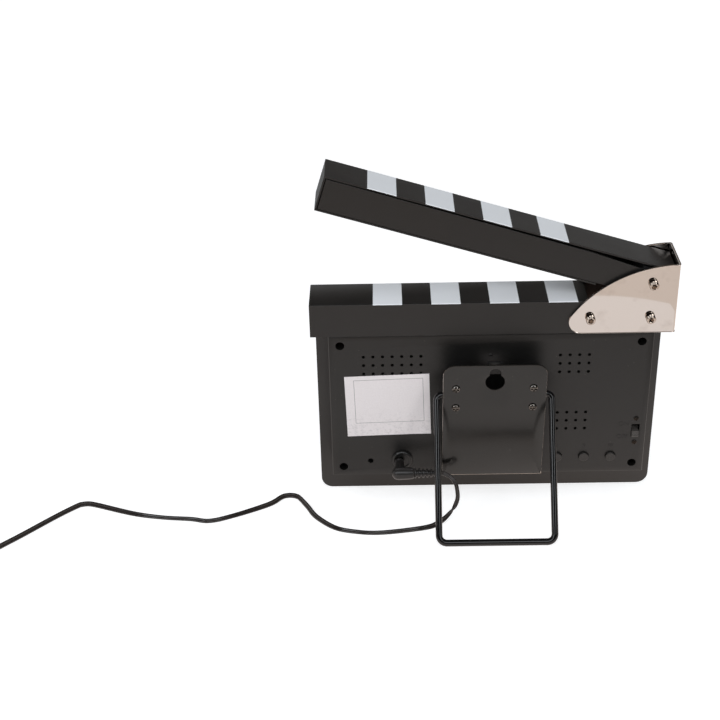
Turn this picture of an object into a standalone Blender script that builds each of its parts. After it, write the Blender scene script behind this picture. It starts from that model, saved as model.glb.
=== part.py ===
"""A mains-powered alarm clock shaped like a film slate, seen in its photograph from behind.

World axes: +Z up, the display faces -Y, and +X is on the left for someone who looks at the back.
The whole case leans back on the lower rear edge of its board and on a wire stand.  Its pieces are
placed in the case frame, whose origin is that edge: x as in the world, y out of the back, z up
the board.  All lengths are in metres.
"""
import math

import bmesh
import bpy
from mathutils import Vector

# Common clearances
CLEAR = 0.0003
OVERRUN = 0.002

# Whole case
OVERALL_WIDTH = 0.210
LEAN = math.radians(8.6)

# Slate board, with its display window
BOARD_SIDE_INSET = 0.00265
BOARD_HEIGHT = 0.119
BOARD_THICKNESS = 0.0065
BOARD_CORNER = 0.007
BOARD_CENTRE_X = 0.0005
PANE_SIDE_INSET = 0.02835
PANE_TOP_INSET = 0.022
PANE_BOTTOM = 0.045
PANE_THICKNESS = 0.002
PANE_RECESS = 0.0003
PANE_LEDGE = 0.003

# Display behind the pane
DISPLAY_STANDOFF = 0.0025
DISPLAY_POST_RADIUS = 0.0025
DISPLAY_POST_INSET = 0.004
DISPLAY_MARGIN_X = 0.004
DISPLAY_MARGIN_Z = 0.005
BOARD_SHEET = 0.0016
DIGIT_ROW_SHARE = 0.85
DIGIT_HEIGHT_SHARE = 0.87
DIGIT_DEPTH = 0.006
DIGIT_GAP = 0.001
COLON_WIDTH = 0.009
COLON_LAMP_RADIUS = 0.002
COLON_LAMP_RISE = 0.007
GLYPH_WIDTH_SHARE = 0.63
GLYPH_HEIGHT_SHARE = 0.775
GLYPH_STROKE_SHARE = 0.21
GLYPH_RELIEF = 0.0004
GLYPH_GAP = 0.0005
SHOWN_TIME = "1008"

# Electronics box on the back
COVER_SIDE_INSET = 0.00795
COVER_BOTTOM = 0.0218
COVER_TOP_GAP = 0.0003
COVER_DEPTH = 0.019
COVER_WALL = 0.002
COVER_EDGE = 0.0007
COVER_CENTRE_X = 0.0004
WELL_RADIUS = 0.00265
WELL_WALL = 0.002
WELL_INSET_X = 0.0068
WELL_INSET_Z = 0.0063
WELL_FLOOR = 0.0035
POST_SETBACK = 0.0005
VENT_RADIUS = 0.001
VENT_PITCH_X = 0.0056
VENT_PITCH_Z = 0.0057
VENT_ROWS = 3
LEFT_VENT_COLUMNS = 7
LEFT_VENT_INSET = 0.0203
LEFT_VENT_DROP = 0.0139
RIGHT_VENT_COLUMNS = 4
RIGHT_VENT_INSET = 0.0536
RIGHT_VENT_DROP = 0.0145
LOW_VENT_RISE = 0.0430
GATE_MARK_RADIUS = 0.0009
GATE_MARK_DEPTH = 0.0005
GATE_MARK_X = -0.0006
GATE_MARK_DROP = 0.0138

# Screws that hold the box to the board
COVER_SCREW_RADIUS = 0.0013
COVER_SCREW_HEAD_RADIUS = 0.0023
COVER_SCREW_HEAD = 0.002
COVER_SCREW_BITE = 0.0045
CROSS_WIDTH = 0.0006
CROSS_LENGTH_SHARE = 0.62
CROSS_DEPTH_SHARE = 0.45

# Sounder behind the upper left vents
BUZZER_RADIUS = 0.010
BUZZER_DEPTH = 0.006
BUZZER_PORT_RADIUS = 0.0015
BUZZER_PORT_DEPTH = 0.002

# Power socket and the small side socket
JACK_INSET = 0.0425
JACK_RISE = 0.0111
JACK_RADIUS = 0.0063
JACK_PROUD = 0.0018
JACK_CHAMFER = 0.0008
JACK_DISH_RADIUS = 0.0048
JACK_DISH_DEPTH = 0.0005
JACK_SLEEVE_RADIUS = 0.0052
JACK_SLEEVE_DEPTH = 0.0125
JACK_BORE_OFFSET = 0.0016
JACK_BORE_RADIUS = 0.00285
JACK_BORE_DEPTH = 0.0105
JACK_PIN_RADIUS = 0.0006
SIDE_SOCKET_INSET = 0.0233
SIDE_SOCKET_RISE = 0.0103
SIDE_SOCKET_RADIUS = 0.0017
SIDE_SOCKET_WALL = 0.0012
SIDE_SOCKET_DEPTH = 0.009
SIDE_SOCKET_BORE_DEPTH = 0.007

# Push buttons
BUTTON_NAMES = ("set_button", "up_button", "out_button")
BUTTON_INSET = 0.0525
BUTTON_PITCH = 0.01615
BUTTON_RISE = 0.0115
BUTTON_RADIUS = 0.003
BUTTON_PROUD = 0.0016
BUTTON_CROWN = 0.0003
BUTTON_FLANGE_RADIUS = 0.0044
BUTTON_FLANGE = 0.0012
BUTTON_STEM_RADIUS = 0.0014
BUTTON_STEM = 0.0013
BUTTON_TRAVEL = 0.0007

# Board behind the buttons and the slide switch
DOME_RADIUS = 0.0035
DOME_TOP_RADIUS = 0.002
DOME_HEIGHT = 0.0018
BUTTON_BOARD_MARGIN = 0.0055
BUTTON_BOARD_HEIGHT = 0.034
BUTTON_BOARD_DROP = 0.0045
BOARD_POST_RADIUS = 0.0022
BOARD_POST_INSET = 0.004

# Slide switch
SWITCH_INSET = 0.0063
SWITCH_RISE = 0.0295
SLOT_WIDTH = 0.005
SLOT_HEIGHT = 0.0087
KNOB_WIDTH = 0.0042
KNOB_HEIGHT = 0.004
KNOB_PROUD = 0.0012
KNOB_FOOT_MARGIN = 0.0006
KNOB_FOOT = 0.001
KNOB_RIB_DEPTH = 0.0004
KNOB_RIB_WIDTH = 0.0005
KNOB_RIBS = 3
SWITCH_FRAME_WIDTH = 0.0074
SWITCH_FRAME_HEIGHT = 0.0212
SWITCH_SHEET = 0.0006
SWITCH_BODY_HEIGHT = 0.0112
SWITCH_BODY_DEPTH = 0.0034
SWITCH_SCREW_PITCH = 0.0168
SWITCH_SCREW_RADIUS = 0.0008
SWITCH_SCREW_HEAD_RADIUS = 0.0015
SWITCH_SCREW_HEAD = 0.0007
SWITCH_SCREW_LENGTH = 0.005

# Blank paper label
LABEL_WIDTH = 0.0501
LABEL_HEIGHT = 0.0416
LABEL_THICKNESS = 0.0002
LABEL_LIFT = 0.0001
LABEL_CORNER = 0.0012
LABEL_INSET = 0.0343
LABEL_RISE = 0.0498
LABEL_TURN = math.radians(1.6)

# Fixed stick
STICK_HEIGHT = 0.021
STICK_SHEET = 0.0012
STICK_OVERHANG = 0.0015
STICK_END_GAP = 0.0004
STICK_EDGE = 0.0002
STICK_CUT_INSET = 0.0505

# Wood block inside the fixed stick
BLOCK_LENGTH = 0.0575
BLOCK_END_GAP = 0.0008
BLOCK_HOLE_RADIUS = 0.001
BLOCK_HOLE_DEPTH = 0.006
BLOCK_HOLE_INSET = 0.0458
BLOCK_HOLE_SETBACK = 0.0126

# U-shaped hinge bracket
BRACKET_SHEET = 0.0012
BRACKET_BEND = 0.0014
BRACKET_TOP_RISE = 0.0228
BRACKET_BOTTOM_DROP = 0.0203
BRACKET_ARC_RADIUS = 0.073
BRACKET_NOSE_RADIUS = 0.0075

# Socket screws of the bracket
BOLT_RADIUS = 0.0015
BOLT_HEAD_RADIUS = 0.00275
BOLT_HEAD = 0.003
BOLT_HEAD_CHAMFER = 0.0003
BOLT_SOCKET_RADIUS = 0.0014
BOLT_SOCKET_DEPTH = 0.0015
BOLT_REACH = 0.0123
BOLT_DROP = 0.01045
BOLT_FAR_INSET = 0.0492
BOLT_NEAR_INSET = 0.0149

# Pivot of the moving stick
PIVOT_INSET = 0.0148
PIVOT_RISE = 0.01075
NUT_RADIUS = 0.0031
NUT_HEIGHT = 0.0024
WASHER_RADIUS = 0.0035
WASHER_THICKNESS = 0.0005

# Moving stick, in its own frame at the pivot, with x toward the free end
OPEN_ANGLE = math.radians(17.27)
CLAPPER_END_PROUD = 0.0003
CLAPPER_TAIL = 0.01067
CLAPPER_HALF_HEIGHT = 0.0105
CLAPPER_SHEET = 0.001
CLAPPER_SIDE_GAP = 0.0011
CLAPPER_TAIL_CORNER = 0.008
CLAPPER_CUT_X = 0.0306
CLAPPER_CUT_STEP = 0.0011
BACK_LEFT_GAP = 0.0005
BACK_TOP_GAP = 0.0005
BACK_TOP_GAP_AT_TAIL = 0.0016
PIVOT_BLOCK_RADIUS = 0.0082

# Closing sensor in the fixed stick and its magnet in the moving one
SENSOR_LENGTH = 0.012
SENSOR_DEPTH = 0.006
SENSOR_HEIGHT = 0.004
SENSOR_INSET = 0.0202

# Slanted mounting plate
PLATE_WIDTH = 0.060
PLATE_LENGTH = 0.0812
PLATE_SHEET = 0.0012
PLATE_CORNER = 0.007
PLATE_STANDOFF = 0.0175
PLATE_CENTRE_X = -0.00135
PLATE_SLANT = math.radians(5.65)
KEYHOLE_RADIUS = 0.0055
KEYHOLE_DROP = 0.0119
KEYHOLE_SLOT_WIDTH = 0.0063
KEYHOLE_SLOT_DROP = 0.0026
PLATE_SCREW_SPREAD = 0.0448
PLATE_SCREW_PITCH = 0.0137
PLATE_SCREW_RADIUS = 0.00125
PLATE_SCREW_LENGTH = 0.009
DOME_HEAD_RADIUS = 0.0024
DOME_HEAD_HEIGHT = 0.0015

# Wire stand and the two blocks that grip it
WIRE_RADIUS = 0.002
STAND_SPREAD = 0.067
STAND_LENGTH = 0.0857
STAND_ANGLE = math.radians(25.025)
STAND_AXIS_DROP = 0.02325
STAND_TOP_BEND = 0.0032
STAND_FOOT_BEND = 0.0045
STAND_END_INSET = 0.0175
CLAMP_LENGTH = 0.0125
CLAMP_EDGE_INSET = 0.0018
CLAMP_HEIGHT = 0.022

# Elbow plug
PLUG_REACH = 0.0135
PLUG_NECK_RADIUS = 0.0024
PLUG_BODY_RADIUS = 0.0039
PLUG_TIP_RADIUS = 0.0033
PLUG_NOSE = 0.0049
PLUG_BODY_LENGTH = 0.0131
PLUG_BARREL_RADIUS = 0.0025
PLUG_BARREL_BORE = 0.0011
RELIEF_LENGTH = 0.0131
RELIEF_RADIUS = 0.003
RELIEF_END_RADIUS = 0.0024
RELIEF_GROOVE = 0.0007
RELIEF_RIBS = 6
RELIEF_BORE_RADIUS = 0.0016

# Lead, whose route starts where it leaves the plug
LEAD_RADIUS = 0.0016
LEAD_STEP = 0.0068
LEAD_ROUTE = [
    (-0.0068, 0.0029, 0.0260), (-0.0116, 0.0028, 0.0195), (-0.0124, 0.0028, 0.0105),
    (-0.0083, 0.0054, 0.0035), (-0.0014, 0.0153, 0.0017), (0.0052, 0.0203, 0.0017),
    (0.0195, 0.0242, 0.0017), (0.0354, 0.0265, 0.0017), (0.0480, 0.0250, 0.0017),
    (0.0609, 0.0197, 0.0017), (0.0726, 0.0057, 0.0017), (0.0835, -0.0177, 0.0017),
    (0.0912, -0.0258, 0.0017), (0.1034, -0.0107, 0.0017), (0.1255, 0.0038, 0.0017),
    (0.1378, 0.0088, 0.0017), (0.1485, 0.0060, 0.0017), (0.1663, 0.0033, 0.0017),
    (0.1846, -0.0018, 0.0017), (0.2077, -0.0126, 0.0017), (0.2141, -0.0153, 0.0017),
    (0.2198, -0.0143, 0.0017), (0.2310, 0.0006, 0.0017), (0.2470, 0.0244, 0.0018),
    (0.2567, 0.0381, 0.0024),
]
COIL_REACH = 0.2870
COIL_BACK = 0.0353
COIL_INNER_RADIUS = 0.0095
COIL_PITCH = 0.0037
COIL_ENTRY_ANGLE = math.radians(144.7)
COIL_FULL_TURNS = 9
LOOP_POINTS = 24
TIE_THICKNESS = 0.0006
TIE_WIDTH = 0.006

# Mains adapter at the far end
ADAPTER_WIDTH = 0.036
ADAPTER_LENGTH = 0.056
ADAPTER_HEIGHT = 0.026
ADAPTER_EDGE = 0.003
ADAPTER_GAP = 0.040
ADAPTER_COLLAR_RADIUS = 0.0032
ADAPTER_COLLAR_LENGTH = 0.006
PIN_LENGTH = 0.0165
PIN_WIDTH = 0.0063
PIN_THICKNESS = 0.0015
PIN_PITCH = 0.0127
PIN_END_DROP = 0.016

# Numbers of facets
ROUND_SIDES = 24
SMALL_SIDES = 16
PLUG_SIDES = 24
VENT_SIDES = 10
ARC_STEPS = 10
BEND_STEPS = 6
SMOOTH_ANGLE = math.radians(35)

# Sizes worked out from the ones above
BOARD_WIDTH = OVERALL_WIDTH - 2 * BOARD_SIDE_INSET
PANE_WIDTH = BOARD_WIDTH - 2 * PANE_SIDE_INSET
PANE_HEIGHT = BOARD_HEIGHT - PANE_TOP_INSET - PANE_BOTTOM
PANE_CENTRE_Z = PANE_BOTTOM + PANE_HEIGHT / 2
DIGIT_ROW = DIGIT_ROW_SHARE * (PANE_WIDTH - 2 * PANE_LEDGE)
DIGIT_WIDTH = (DIGIT_ROW - COLON_WIDTH - len(SHOWN_TIME) * DIGIT_GAP) / len(SHOWN_TIME)
DIGIT_HEIGHT = DIGIT_HEIGHT_SHARE * (PANE_HEIGHT - 2 * PANE_LEDGE)
GLYPH_WIDTH = GLYPH_WIDTH_SHARE * DIGIT_WIDTH
GLYPH_HEIGHT = GLYPH_HEIGHT_SHARE * DIGIT_HEIGHT
GLYPH_STROKE = GLYPH_STROKE_SHARE * GLYPH_WIDTH
COVER_WIDTH = BOARD_WIDTH - 2 * COVER_SIDE_INSET
COVER_HEIGHT = BOARD_HEIGHT - COVER_TOP_GAP - COVER_BOTTOM
JACK_X = COVER_WIDTH / 2 - JACK_INSET
SIDE_SOCKET_X = COVER_WIDTH / 2 - SIDE_SOCKET_INSET
LABEL_X = COVER_WIDTH / 2 - LABEL_INSET
LEFT_VENT_X = COVER_WIDTH / 2 - LEFT_VENT_INSET
RIGHT_VENT_X = RIGHT_VENT_INSET - COVER_WIDTH / 2
BUTTON_X = BUTTON_INSET - COVER_WIDTH / 2
SWITCH_X = SWITCH_INSET - COVER_WIDTH / 2
LOW_VENT_DROP = COVER_HEIGHT - LOW_VENT_RISE
STICK_LEFT_X = OVERALL_WIDTH / 2
STICK_LENGTH = OVERALL_WIDTH - BRACKET_SHEET - STICK_END_GAP
STICK_RIGHT_X = STICK_LEFT_X - STICK_LENGTH
STICK_TOP_Z = BOARD_HEIGHT + STICK_HEIGHT
STICK_FRONT_Y = -BOARD_THICKNESS
PANEL_Y = COVER_DEPTH
PANEL_INNER_Y = PANEL_Y - COVER_WALL
STICK_REAR_Y = PANEL_Y + STICK_OVERHANG
COVER_TOP = COVER_BOTTOM + COVER_HEIGHT
BRACKET_RIGHT_X = -OVERALL_WIDTH / 2
STICK_CUT_X = BRACKET_RIGHT_X + STICK_CUT_INSET
BLOCK_HOLE_X = BRACKET_RIGHT_X + BLOCK_HOLE_INSET
BOLT_FAR_X = BRACKET_RIGHT_X + BOLT_FAR_INSET
BOLT_NEAR_X = BRACKET_RIGHT_X + BOLT_NEAR_INSET
PIVOT_X = BRACKET_RIGHT_X + PIVOT_INSET
CLAPPER_REACH = STICK_LEFT_X - PIVOT_X + CLAPPER_END_PROUD
BRACKET_REAR_Y = STICK_REAR_Y + CLEAR + BRACKET_SHEET
BRACKET_FRONT_Y = STICK_FRONT_Y - CLEAR - BRACKET_SHEET
BRACKET_TOP_Z = STICK_TOP_Z + BRACKET_TOP_RISE
BRACKET_BOTTOM_Z = STICK_TOP_Z - BRACKET_BOTTOM_DROP
PIVOT_Z = STICK_TOP_Z + PIVOT_RISE
CLAPPER_REAR_Y = BRACKET_REAR_Y - BRACKET_SHEET - CLAPPER_SIDE_GAP
CLAPPER_FRONT_Y = BRACKET_FRONT_Y + BRACKET_SHEET + CLAPPER_SIDE_GAP
JACK_Z = COVER_BOTTOM + JACK_RISE
PLUG_X = COVER_CENTRE_X + JACK_X + JACK_BORE_OFFSET
PLUG_Y = PANEL_Y + JACK_PROUD + PLUG_REACH
LEAD_START_X = PLUG_X + PLUG_NOSE - PLUG_BODY_LENGTH - RELIEF_LENGTH - 2 * CLEAR
COIL_CENTRE = (LEAD_START_X + COIL_REACH, COIL_BACK)
PLATE_OUTER_Y = PANEL_Y + PLATE_STANDOFF
BOLT_HOLE_RADIUS = BOLT_RADIUS + CLEAR
BUTTON_ROW_Z = COVER_BOTTOM + BUTTON_RISE
SWITCH_Z = COVER_BOTTOM + SWITCH_RISE
BUTTON_STEM_END_Y = PANEL_INNER_Y - CLEAR - BUTTON_FLANGE - BUTTON_STEM
BUTTON_BOARD_Y = BUTTON_STEM_END_Y - BUTTON_TRAVEL - CLEAR - DOME_HEIGHT


STAND_AXIS_PLATE_Y = -PLATE_SHEET - CLEAR - WIRE_RADIUS
STAND_AXIS_HEIGHT = STAND_LENGTH * math.cos(STAND_ANGLE) + WIRE_RADIUS
STAND_AXIS_Y = (
    PLATE_OUTER_Y + STAND_AXIS_PLATE_Y * math.cos(PLATE_SLANT) - STAND_AXIS_DROP * math.sin(PLATE_SLANT)
)
STAND_AXIS_Z = (STAND_AXIS_HEIGHT + STAND_AXIS_Y * math.sin(LEAN)) / math.cos(LEAN)
STAND_AXIS_BACK = STAND_AXIS_Y * math.cos(LEAN) + STAND_AXIS_Z * math.sin(LEAN)
PLATE_TOP_Z = (
    STAND_AXIS_Z + STAND_AXIS_PLATE_Y * math.sin(PLATE_SLANT) + STAND_AXIS_DROP * math.cos(PLATE_SLANT)
)
FOOT_BACK = STAND_AXIS_BACK + STAND_LENGTH * math.sin(STAND_ANGLE) + WIRE_RADIUS
BOARD_FRONT = -BOARD_THICKNESS * math.cos(LEAN)
CASE_SHIFT = -(FOOT_BACK + BOARD_FRONT) / 2


def plate_to_case(y, z):
    """A point of the mounting plate's frame, as y and z of the case frame."""
    return (
        PLATE_OUTER_Y + y * math.cos(PLATE_SLANT) + z * math.sin(PLATE_SLANT),
        PLATE_TOP_Z - y * math.sin(PLATE_SLANT) + z * math.cos(PLATE_SLANT),
    )


def case_to_world(x, y, z):
    """A point of the case frame in world coordinates."""
    return Vector((
        x,
        CASE_SHIFT + y * math.cos(LEAN) + z * math.sin(LEAN),
        z * math.cos(LEAN) - y * math.sin(LEAN),
    ))


def clear_scene():
    """Removes the objects that the scene starts with."""
    for item in list(bpy.data.objects):
        bpy.data.objects.remove(item, do_unlink=True)


def material(name, colour, roughness, metallic=0.0):
    """A Principled material of one colour."""
    made = bpy.data.materials.new(name)
    made.use_nodes = True
    shader = made.node_tree.nodes["Principled BSDF"]
    shader.inputs["Base Color"].default_value = (*colour, 1.0)
    shader.inputs["Roughness"].default_value = roughness
    shader.inputs["Metallic"].default_value = metallic
    made.diffuse_color = (*colour, 1.0)
    return made


def frame(name, location, rotation=(0, 0, 0), parent=None):
    """An empty that carries pieces."""
    made = bpy.data.objects.new(name, None)
    bpy.context.collection.objects.link(made)
    made.parent = parent
    made.location = location
    made.rotation_euler = rotation
    return made


def add_object(
    name, mesh, parent, location=(0, 0, 0), rotation=(0, 0, 0), look=None, smooth=False
):
    """An object from a bmesh, placed in its parent's frame."""
    bmesh.ops.recalc_face_normals(mesh, faces=mesh.faces)
    data = bpy.data.meshes.new(name)
    mesh.to_mesh(data)
    mesh.free()
    if look:
        data.materials.append(look)
    if smooth:
        data.shade_smooth()
        data.set_sharp_from_angle(angle=SMOOTH_ANGLE)
    made = bpy.data.objects.new(name, data)
    bpy.context.collection.objects.link(made)
    made.parent = parent
    made.location = location
    made.rotation_euler = rotation
    return made


def hide(helper):
    """Marks a helper object, which is no piece of the clock."""
    helper.hide_render = True
    helper.display_type = "WIRE"
    return helper


def combine(target, helper, operation):
    """Cuts or joins a hidden helper with a piece."""
    hide(helper)
    step = target.modifiers.new(helper.name, "BOOLEAN")
    step.operation = operation
    step.solver = "EXACT"
    step.object = helper


def box_mesh(x_range, y_range, z_range, mesh=None):
    """A box between three pairs of coordinates, added to a bmesh."""
    mesh = mesh or bmesh.new()
    made = bmesh.ops.create_cube(mesh, size=1)
    for vertex in made["verts"]:
        for axis, (low, high) in enumerate((x_range, y_range, z_range)):
            vertex.co[axis] = low + (high - low) * (vertex.co[axis] + 0.5)
    return mesh


def prism_mesh(outline, start, end, axis="Y", mesh=None):
    """An outline of (a, b) points extruded from start to end along one axis."""
    mesh = mesh or bmesh.new()
    place = {
        "X": lambda a, b, t: (t, a, b),
        "Y": lambda a, b, t: (a, t, b),
        "Z": lambda a, b, t: (a, b, t),
    }[axis]
    rings = []
    for along in (start, end):
        rings.append([mesh.verts.new(place(a, b, along)) for a, b in outline])
    mesh.faces.new(rings[0])
    mesh.faces.new(list(reversed(rings[1])))
    count = len(outline)
    for index in range(count):
        after = (index + 1) % count
        mesh.faces.new((rings[0][index], rings[1][index], rings[1][after], rings[0][after]))
    return mesh


def turned_mesh(profile, sides, axis="Y", centre=(0, 0), mesh=None):
    """A closed profile of (radius, along) points turned about an axis; radius 0 ends on it."""
    mesh = mesh or bmesh.new()
    place = {
        "X": lambda a, b, t: (t, a, b),
        "Y": lambda a, b, t: (a, t, b),
        "Z": lambda a, b, t: (a, b, t),
    }[axis]
    rings = []
    for radius, along in profile:
        if radius == 0:
            rings.append([mesh.verts.new(place(centre[0], centre[1], along))])
            continue
        ring = []
        for side in range(sides):
            angle = math.tau * side / sides
            a = centre[0] + radius * math.cos(angle)
            b = centre[1] + radius * math.sin(angle)
            ring.append(mesh.verts.new(place(a, b, along)))
        rings.append(ring)
    pairs = list(zip(rings, rings[1:]))
    if len(rings[0]) > 1 or len(rings[-1]) > 1:
        pairs.append((rings[-1], rings[0]))
    for first, second in pairs:
        for side in range(sides):
            after = (side + 1) % sides
            corners = (
                first[side % len(first)], first[after % len(first)],
                second[after % len(second)], second[side % len(second)],
            )
            face = list(dict.fromkeys(corners))
            if len(face) > 2:
                mesh.faces.new(face)
    return mesh


def rod_mesh(radius, start, end, sides=SMALL_SIDES, axis="Y", centre=(0, 0), mesh=None):
    """A round rod along an axis."""
    profile = [(0, start), (radius, start), (radius, end), (0, end)]
    return turned_mesh(profile, sides, axis, centre, mesh)


def arc(centre, radius, start, end, steps=ARC_STEPS):
    """Points along an arc, with both ends."""
    points = []
    for step in range(steps + 1):
        angle = start + (end - start) * step / steps
        points.append((centre[0] + radius * math.cos(angle), centre[1] + radius * math.sin(angle)))
    return points


def rounded_box(left, right, bottom, top, radii):
    """An outline with a radius at its (lower left, lower right, upper right, upper left)."""
    corners = (
        (left, bottom, 1, 1, math.pi), (right, bottom, -1, 1, 1.5 * math.pi),
        (right, top, -1, -1, 0.0), (left, top, 1, -1, 0.5 * math.pi),
    )
    points = []
    for (a, b, inward_a, inward_b, start), radius in zip(corners, radii):
        if radius == 0:
            points.append((a, b))
            continue
        centre = (a + inward_a * radius, b + inward_b * radius)
        points += arc(centre, radius, start, start + math.pi / 2, BEND_STEPS)
    return points


def bevel_edges(mesh, width, wanted):
    """Rounds the edges whose middle passes a test."""
    mesh.edges.ensure_lookup_table()
    chosen = [edge for edge in mesh.edges if wanted((edge.verts[0].co + edge.verts[1].co) / 2, edge)]
    bmesh.ops.bevel(mesh, geom=chosen, offset=width, segments=2, affect="EDGES", profile=0.5)
    return mesh


def smooth_points(route, step):
    """Points read from a smooth curve through a route, whose first and last runs stay straight."""
    fine = [route[1]]
    parts = 24
    for index in range(1, len(route) - 2):
        before, start, end, after = route[index - 1:index + 3]
        for part in range(1, parts + 1):
            t = part / parts
            point = 0.5 * (
                2 * start + (end - before) * t
                + (2 * before - 5 * start + 4 * end - after) * t ** 2
                + (3 * start - before - 3 * end + after) * t ** 3
            )
            fine.append(point)
    lengths = [0.0]
    for first, second in zip(fine, fine[1:]):
        lengths.append(lengths[-1] + (second - first).length)
    count = round(lengths[-1] / step)
    points = [route[0]]
    index = 0
    for number in range(count + 1):
        wanted = lengths[-1] * number / count
        while index < len(fine) - 2 and lengths[index + 1] < wanted:
            index += 1
        share = (wanted - lengths[index]) / (lengths[index + 1] - lengths[index])
        points.append(fine[index].lerp(fine[index + 1], share))
    return points + [route[-1]]


def tube(
    name, points, radius, resolution, look, parent=None, location=(0, 0, 0), rotation=(0, 0, 0)
):
    """A round tube with capped ends along a list of points."""
    data = bpy.data.curves.new(name, "CURVE")
    data.dimensions = "3D"
    data.bevel_depth = radius
    data.bevel_resolution = resolution
    data.use_fill_caps = True
    line = data.splines.new("POLY")
    line.points.add(len(points) - 1)
    for target, point in zip(line.points, points):
        target.co = (*point, 1.0)
    data.materials.append(look)
    made = bpy.data.objects.new(name, data)
    bpy.context.collection.objects.link(made)
    made.parent = parent
    made.location = location
    made.rotation_euler = rotation
    return made


def well_places():
    """The centres of the four screw wells, as (x, z) of the case frame."""
    half = COVER_WIDTH / 2 - WELL_INSET_X
    rows = (COVER_TOP - WELL_INSET_Z, COVER_BOTTOM + WELL_INSET_Z)
    return [(COVER_CENTRE_X + side * half, z) for z in rows for side in (1, -1)]


def button_places():
    """The x of each push button."""
    first = COVER_CENTRE_X + BUTTON_X
    return [first - BUTTON_PITCH * index for index in range(len(BUTTON_NAMES))]


def display_post_places():
    """The centres of the posts that carry the display's board."""
    half_x = PANE_WIDTH / 2 + DISPLAY_MARGIN_X - DISPLAY_POST_INSET
    half_z = PANE_HEIGHT / 2 + DISPLAY_MARGIN_Z - DISPLAY_POST_INSET
    return [
        (BOARD_CENTRE_X + side * half_x, PANE_CENTRE_Z + level * half_z)
        for side in (1, -1) for level in (1, -1)
    ]


def button_board_box():
    """The button board's x and z ranges."""
    places = button_places()
    x_range = (COVER_CENTRE_X - COVER_WIDTH / 2 + COVER_WALL + CLEAR, places[0] + BUTTON_BOARD_MARGIN)
    bottom = BUTTON_ROW_Z - BUTTON_BOARD_DROP
    return x_range, (bottom, bottom + BUTTON_BOARD_HEIGHT)


def board_post_places():
    """The centres of the posts that carry the button board."""
    (x_low, x_high), (z_low, z_high) = button_board_box()
    return [
        (x_high - BOARD_POST_INSET, z_high - BOARD_POST_INSET),
        ((x_low + x_high) / 2, z_high - BOARD_POST_INSET),
    ]


def build_board(case):
    """The slate board, its window and the posts behind it."""
    look = material("slate_black", (0.042, 0.038, 0.036), 0.55)
    half = BOARD_WIDTH / 2
    outline = rounded_box(
        BOARD_CENTRE_X - half, BOARD_CENTRE_X + half, 0, BOARD_HEIGHT, (BOARD_CORNER, BOARD_CORNER, 0, 0)
    )
    board = add_object("slate_board", prism_mesh(outline, -BOARD_THICKNESS, 0), case, look=look)
    posts = bmesh.new()
    for place in display_post_places():
        rod_mesh(DISPLAY_POST_RADIUS, -PANE_LEDGE / 2, DISPLAY_STANDOFF, centre=place, mesh=posts)
    combine(board, add_object("display_posts", posts, case), "UNION")
    pocket_floor = -BOARD_THICKNESS + PANE_RECESS + PANE_THICKNESS + CLEAR
    half_width = PANE_WIDTH / 2 + CLEAR
    half_height = PANE_HEIGHT / 2 + CLEAR
    pocket = box_mesh(
        (BOARD_CENTRE_X - half_width, BOARD_CENTRE_X + half_width),
        (-BOARD_THICKNESS - OVERRUN, pocket_floor),
        (PANE_CENTRE_Z - half_height, PANE_CENTRE_Z + half_height),
    )
    combine(board, add_object("pane_pocket", pocket, case), "DIFFERENCE")
    inner_width = PANE_WIDTH / 2 - PANE_LEDGE
    inner_height = PANE_HEIGHT / 2 - PANE_LEDGE
    through = box_mesh(
        (BOARD_CENTRE_X - inner_width, BOARD_CENTRE_X + inner_width),
        (-BOARD_THICKNESS, OVERRUN),
        (PANE_CENTRE_Z - inner_height, PANE_CENTRE_Z + inner_height),
    )
    combine(board, add_object("pane_opening", through, case), "DIFFERENCE")
    bores = bmesh.new()
    for place in well_places():
        rod_mesh(COVER_SCREW_RADIUS + CLEAR, -COVER_SCREW_BITE - CLEAR, OVERRUN, centre=place, mesh=bores)
    combine(board, add_object("board_screw_bores", bores, case), "DIFFERENCE")


def build_window(case):
    """The dark pane in the board."""
    look = material("dark_pane", (0.010, 0.006, 0.006), 0.08)
    front = -BOARD_THICKNESS + PANE_RECESS
    pane = box_mesh(
        (BOARD_CENTRE_X - PANE_WIDTH / 2, BOARD_CENTRE_X + PANE_WIDTH / 2),
        (front, front + PANE_THICKNESS),
        (PANE_CENTRE_Z - PANE_HEIGHT / 2, PANE_CENTRE_Z + PANE_HEIGHT / 2),
    )
    add_object("display_window", pane, case, look=look)


def glyph_bars(symbol):
    """The lit bars of one numeral, as (x range, z range) about its centre, seen from the front."""
    lit = {"0": "abcdef", "1": "bc", "8": "abcdefg"}[symbol]
    half_width = GLYPH_WIDTH / 2
    half_height = GLYPH_HEIGHT / 2
    stroke = GLYPH_STROKE
    gap = GLYPH_GAP
    across = (-half_width + stroke + gap, half_width - stroke - gap)
    upper = (gap + stroke / 2, half_height)
    lower = (-half_height, -gap - stroke / 2)
    bars = {
        "a": (across, (half_height - stroke, half_height)),
        "b": ((half_width - stroke, half_width), upper),
        "c": ((half_width - stroke, half_width), lower),
        "d": (across, (-half_height, -half_height + stroke)),
        "e": ((-half_width, -half_width + stroke), lower),
        "f": ((-half_width, -half_width + stroke), upper),
        "g": (across, (-stroke / 2, stroke / 2)),
    }
    return [bars[letter] for letter in lit]


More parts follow.
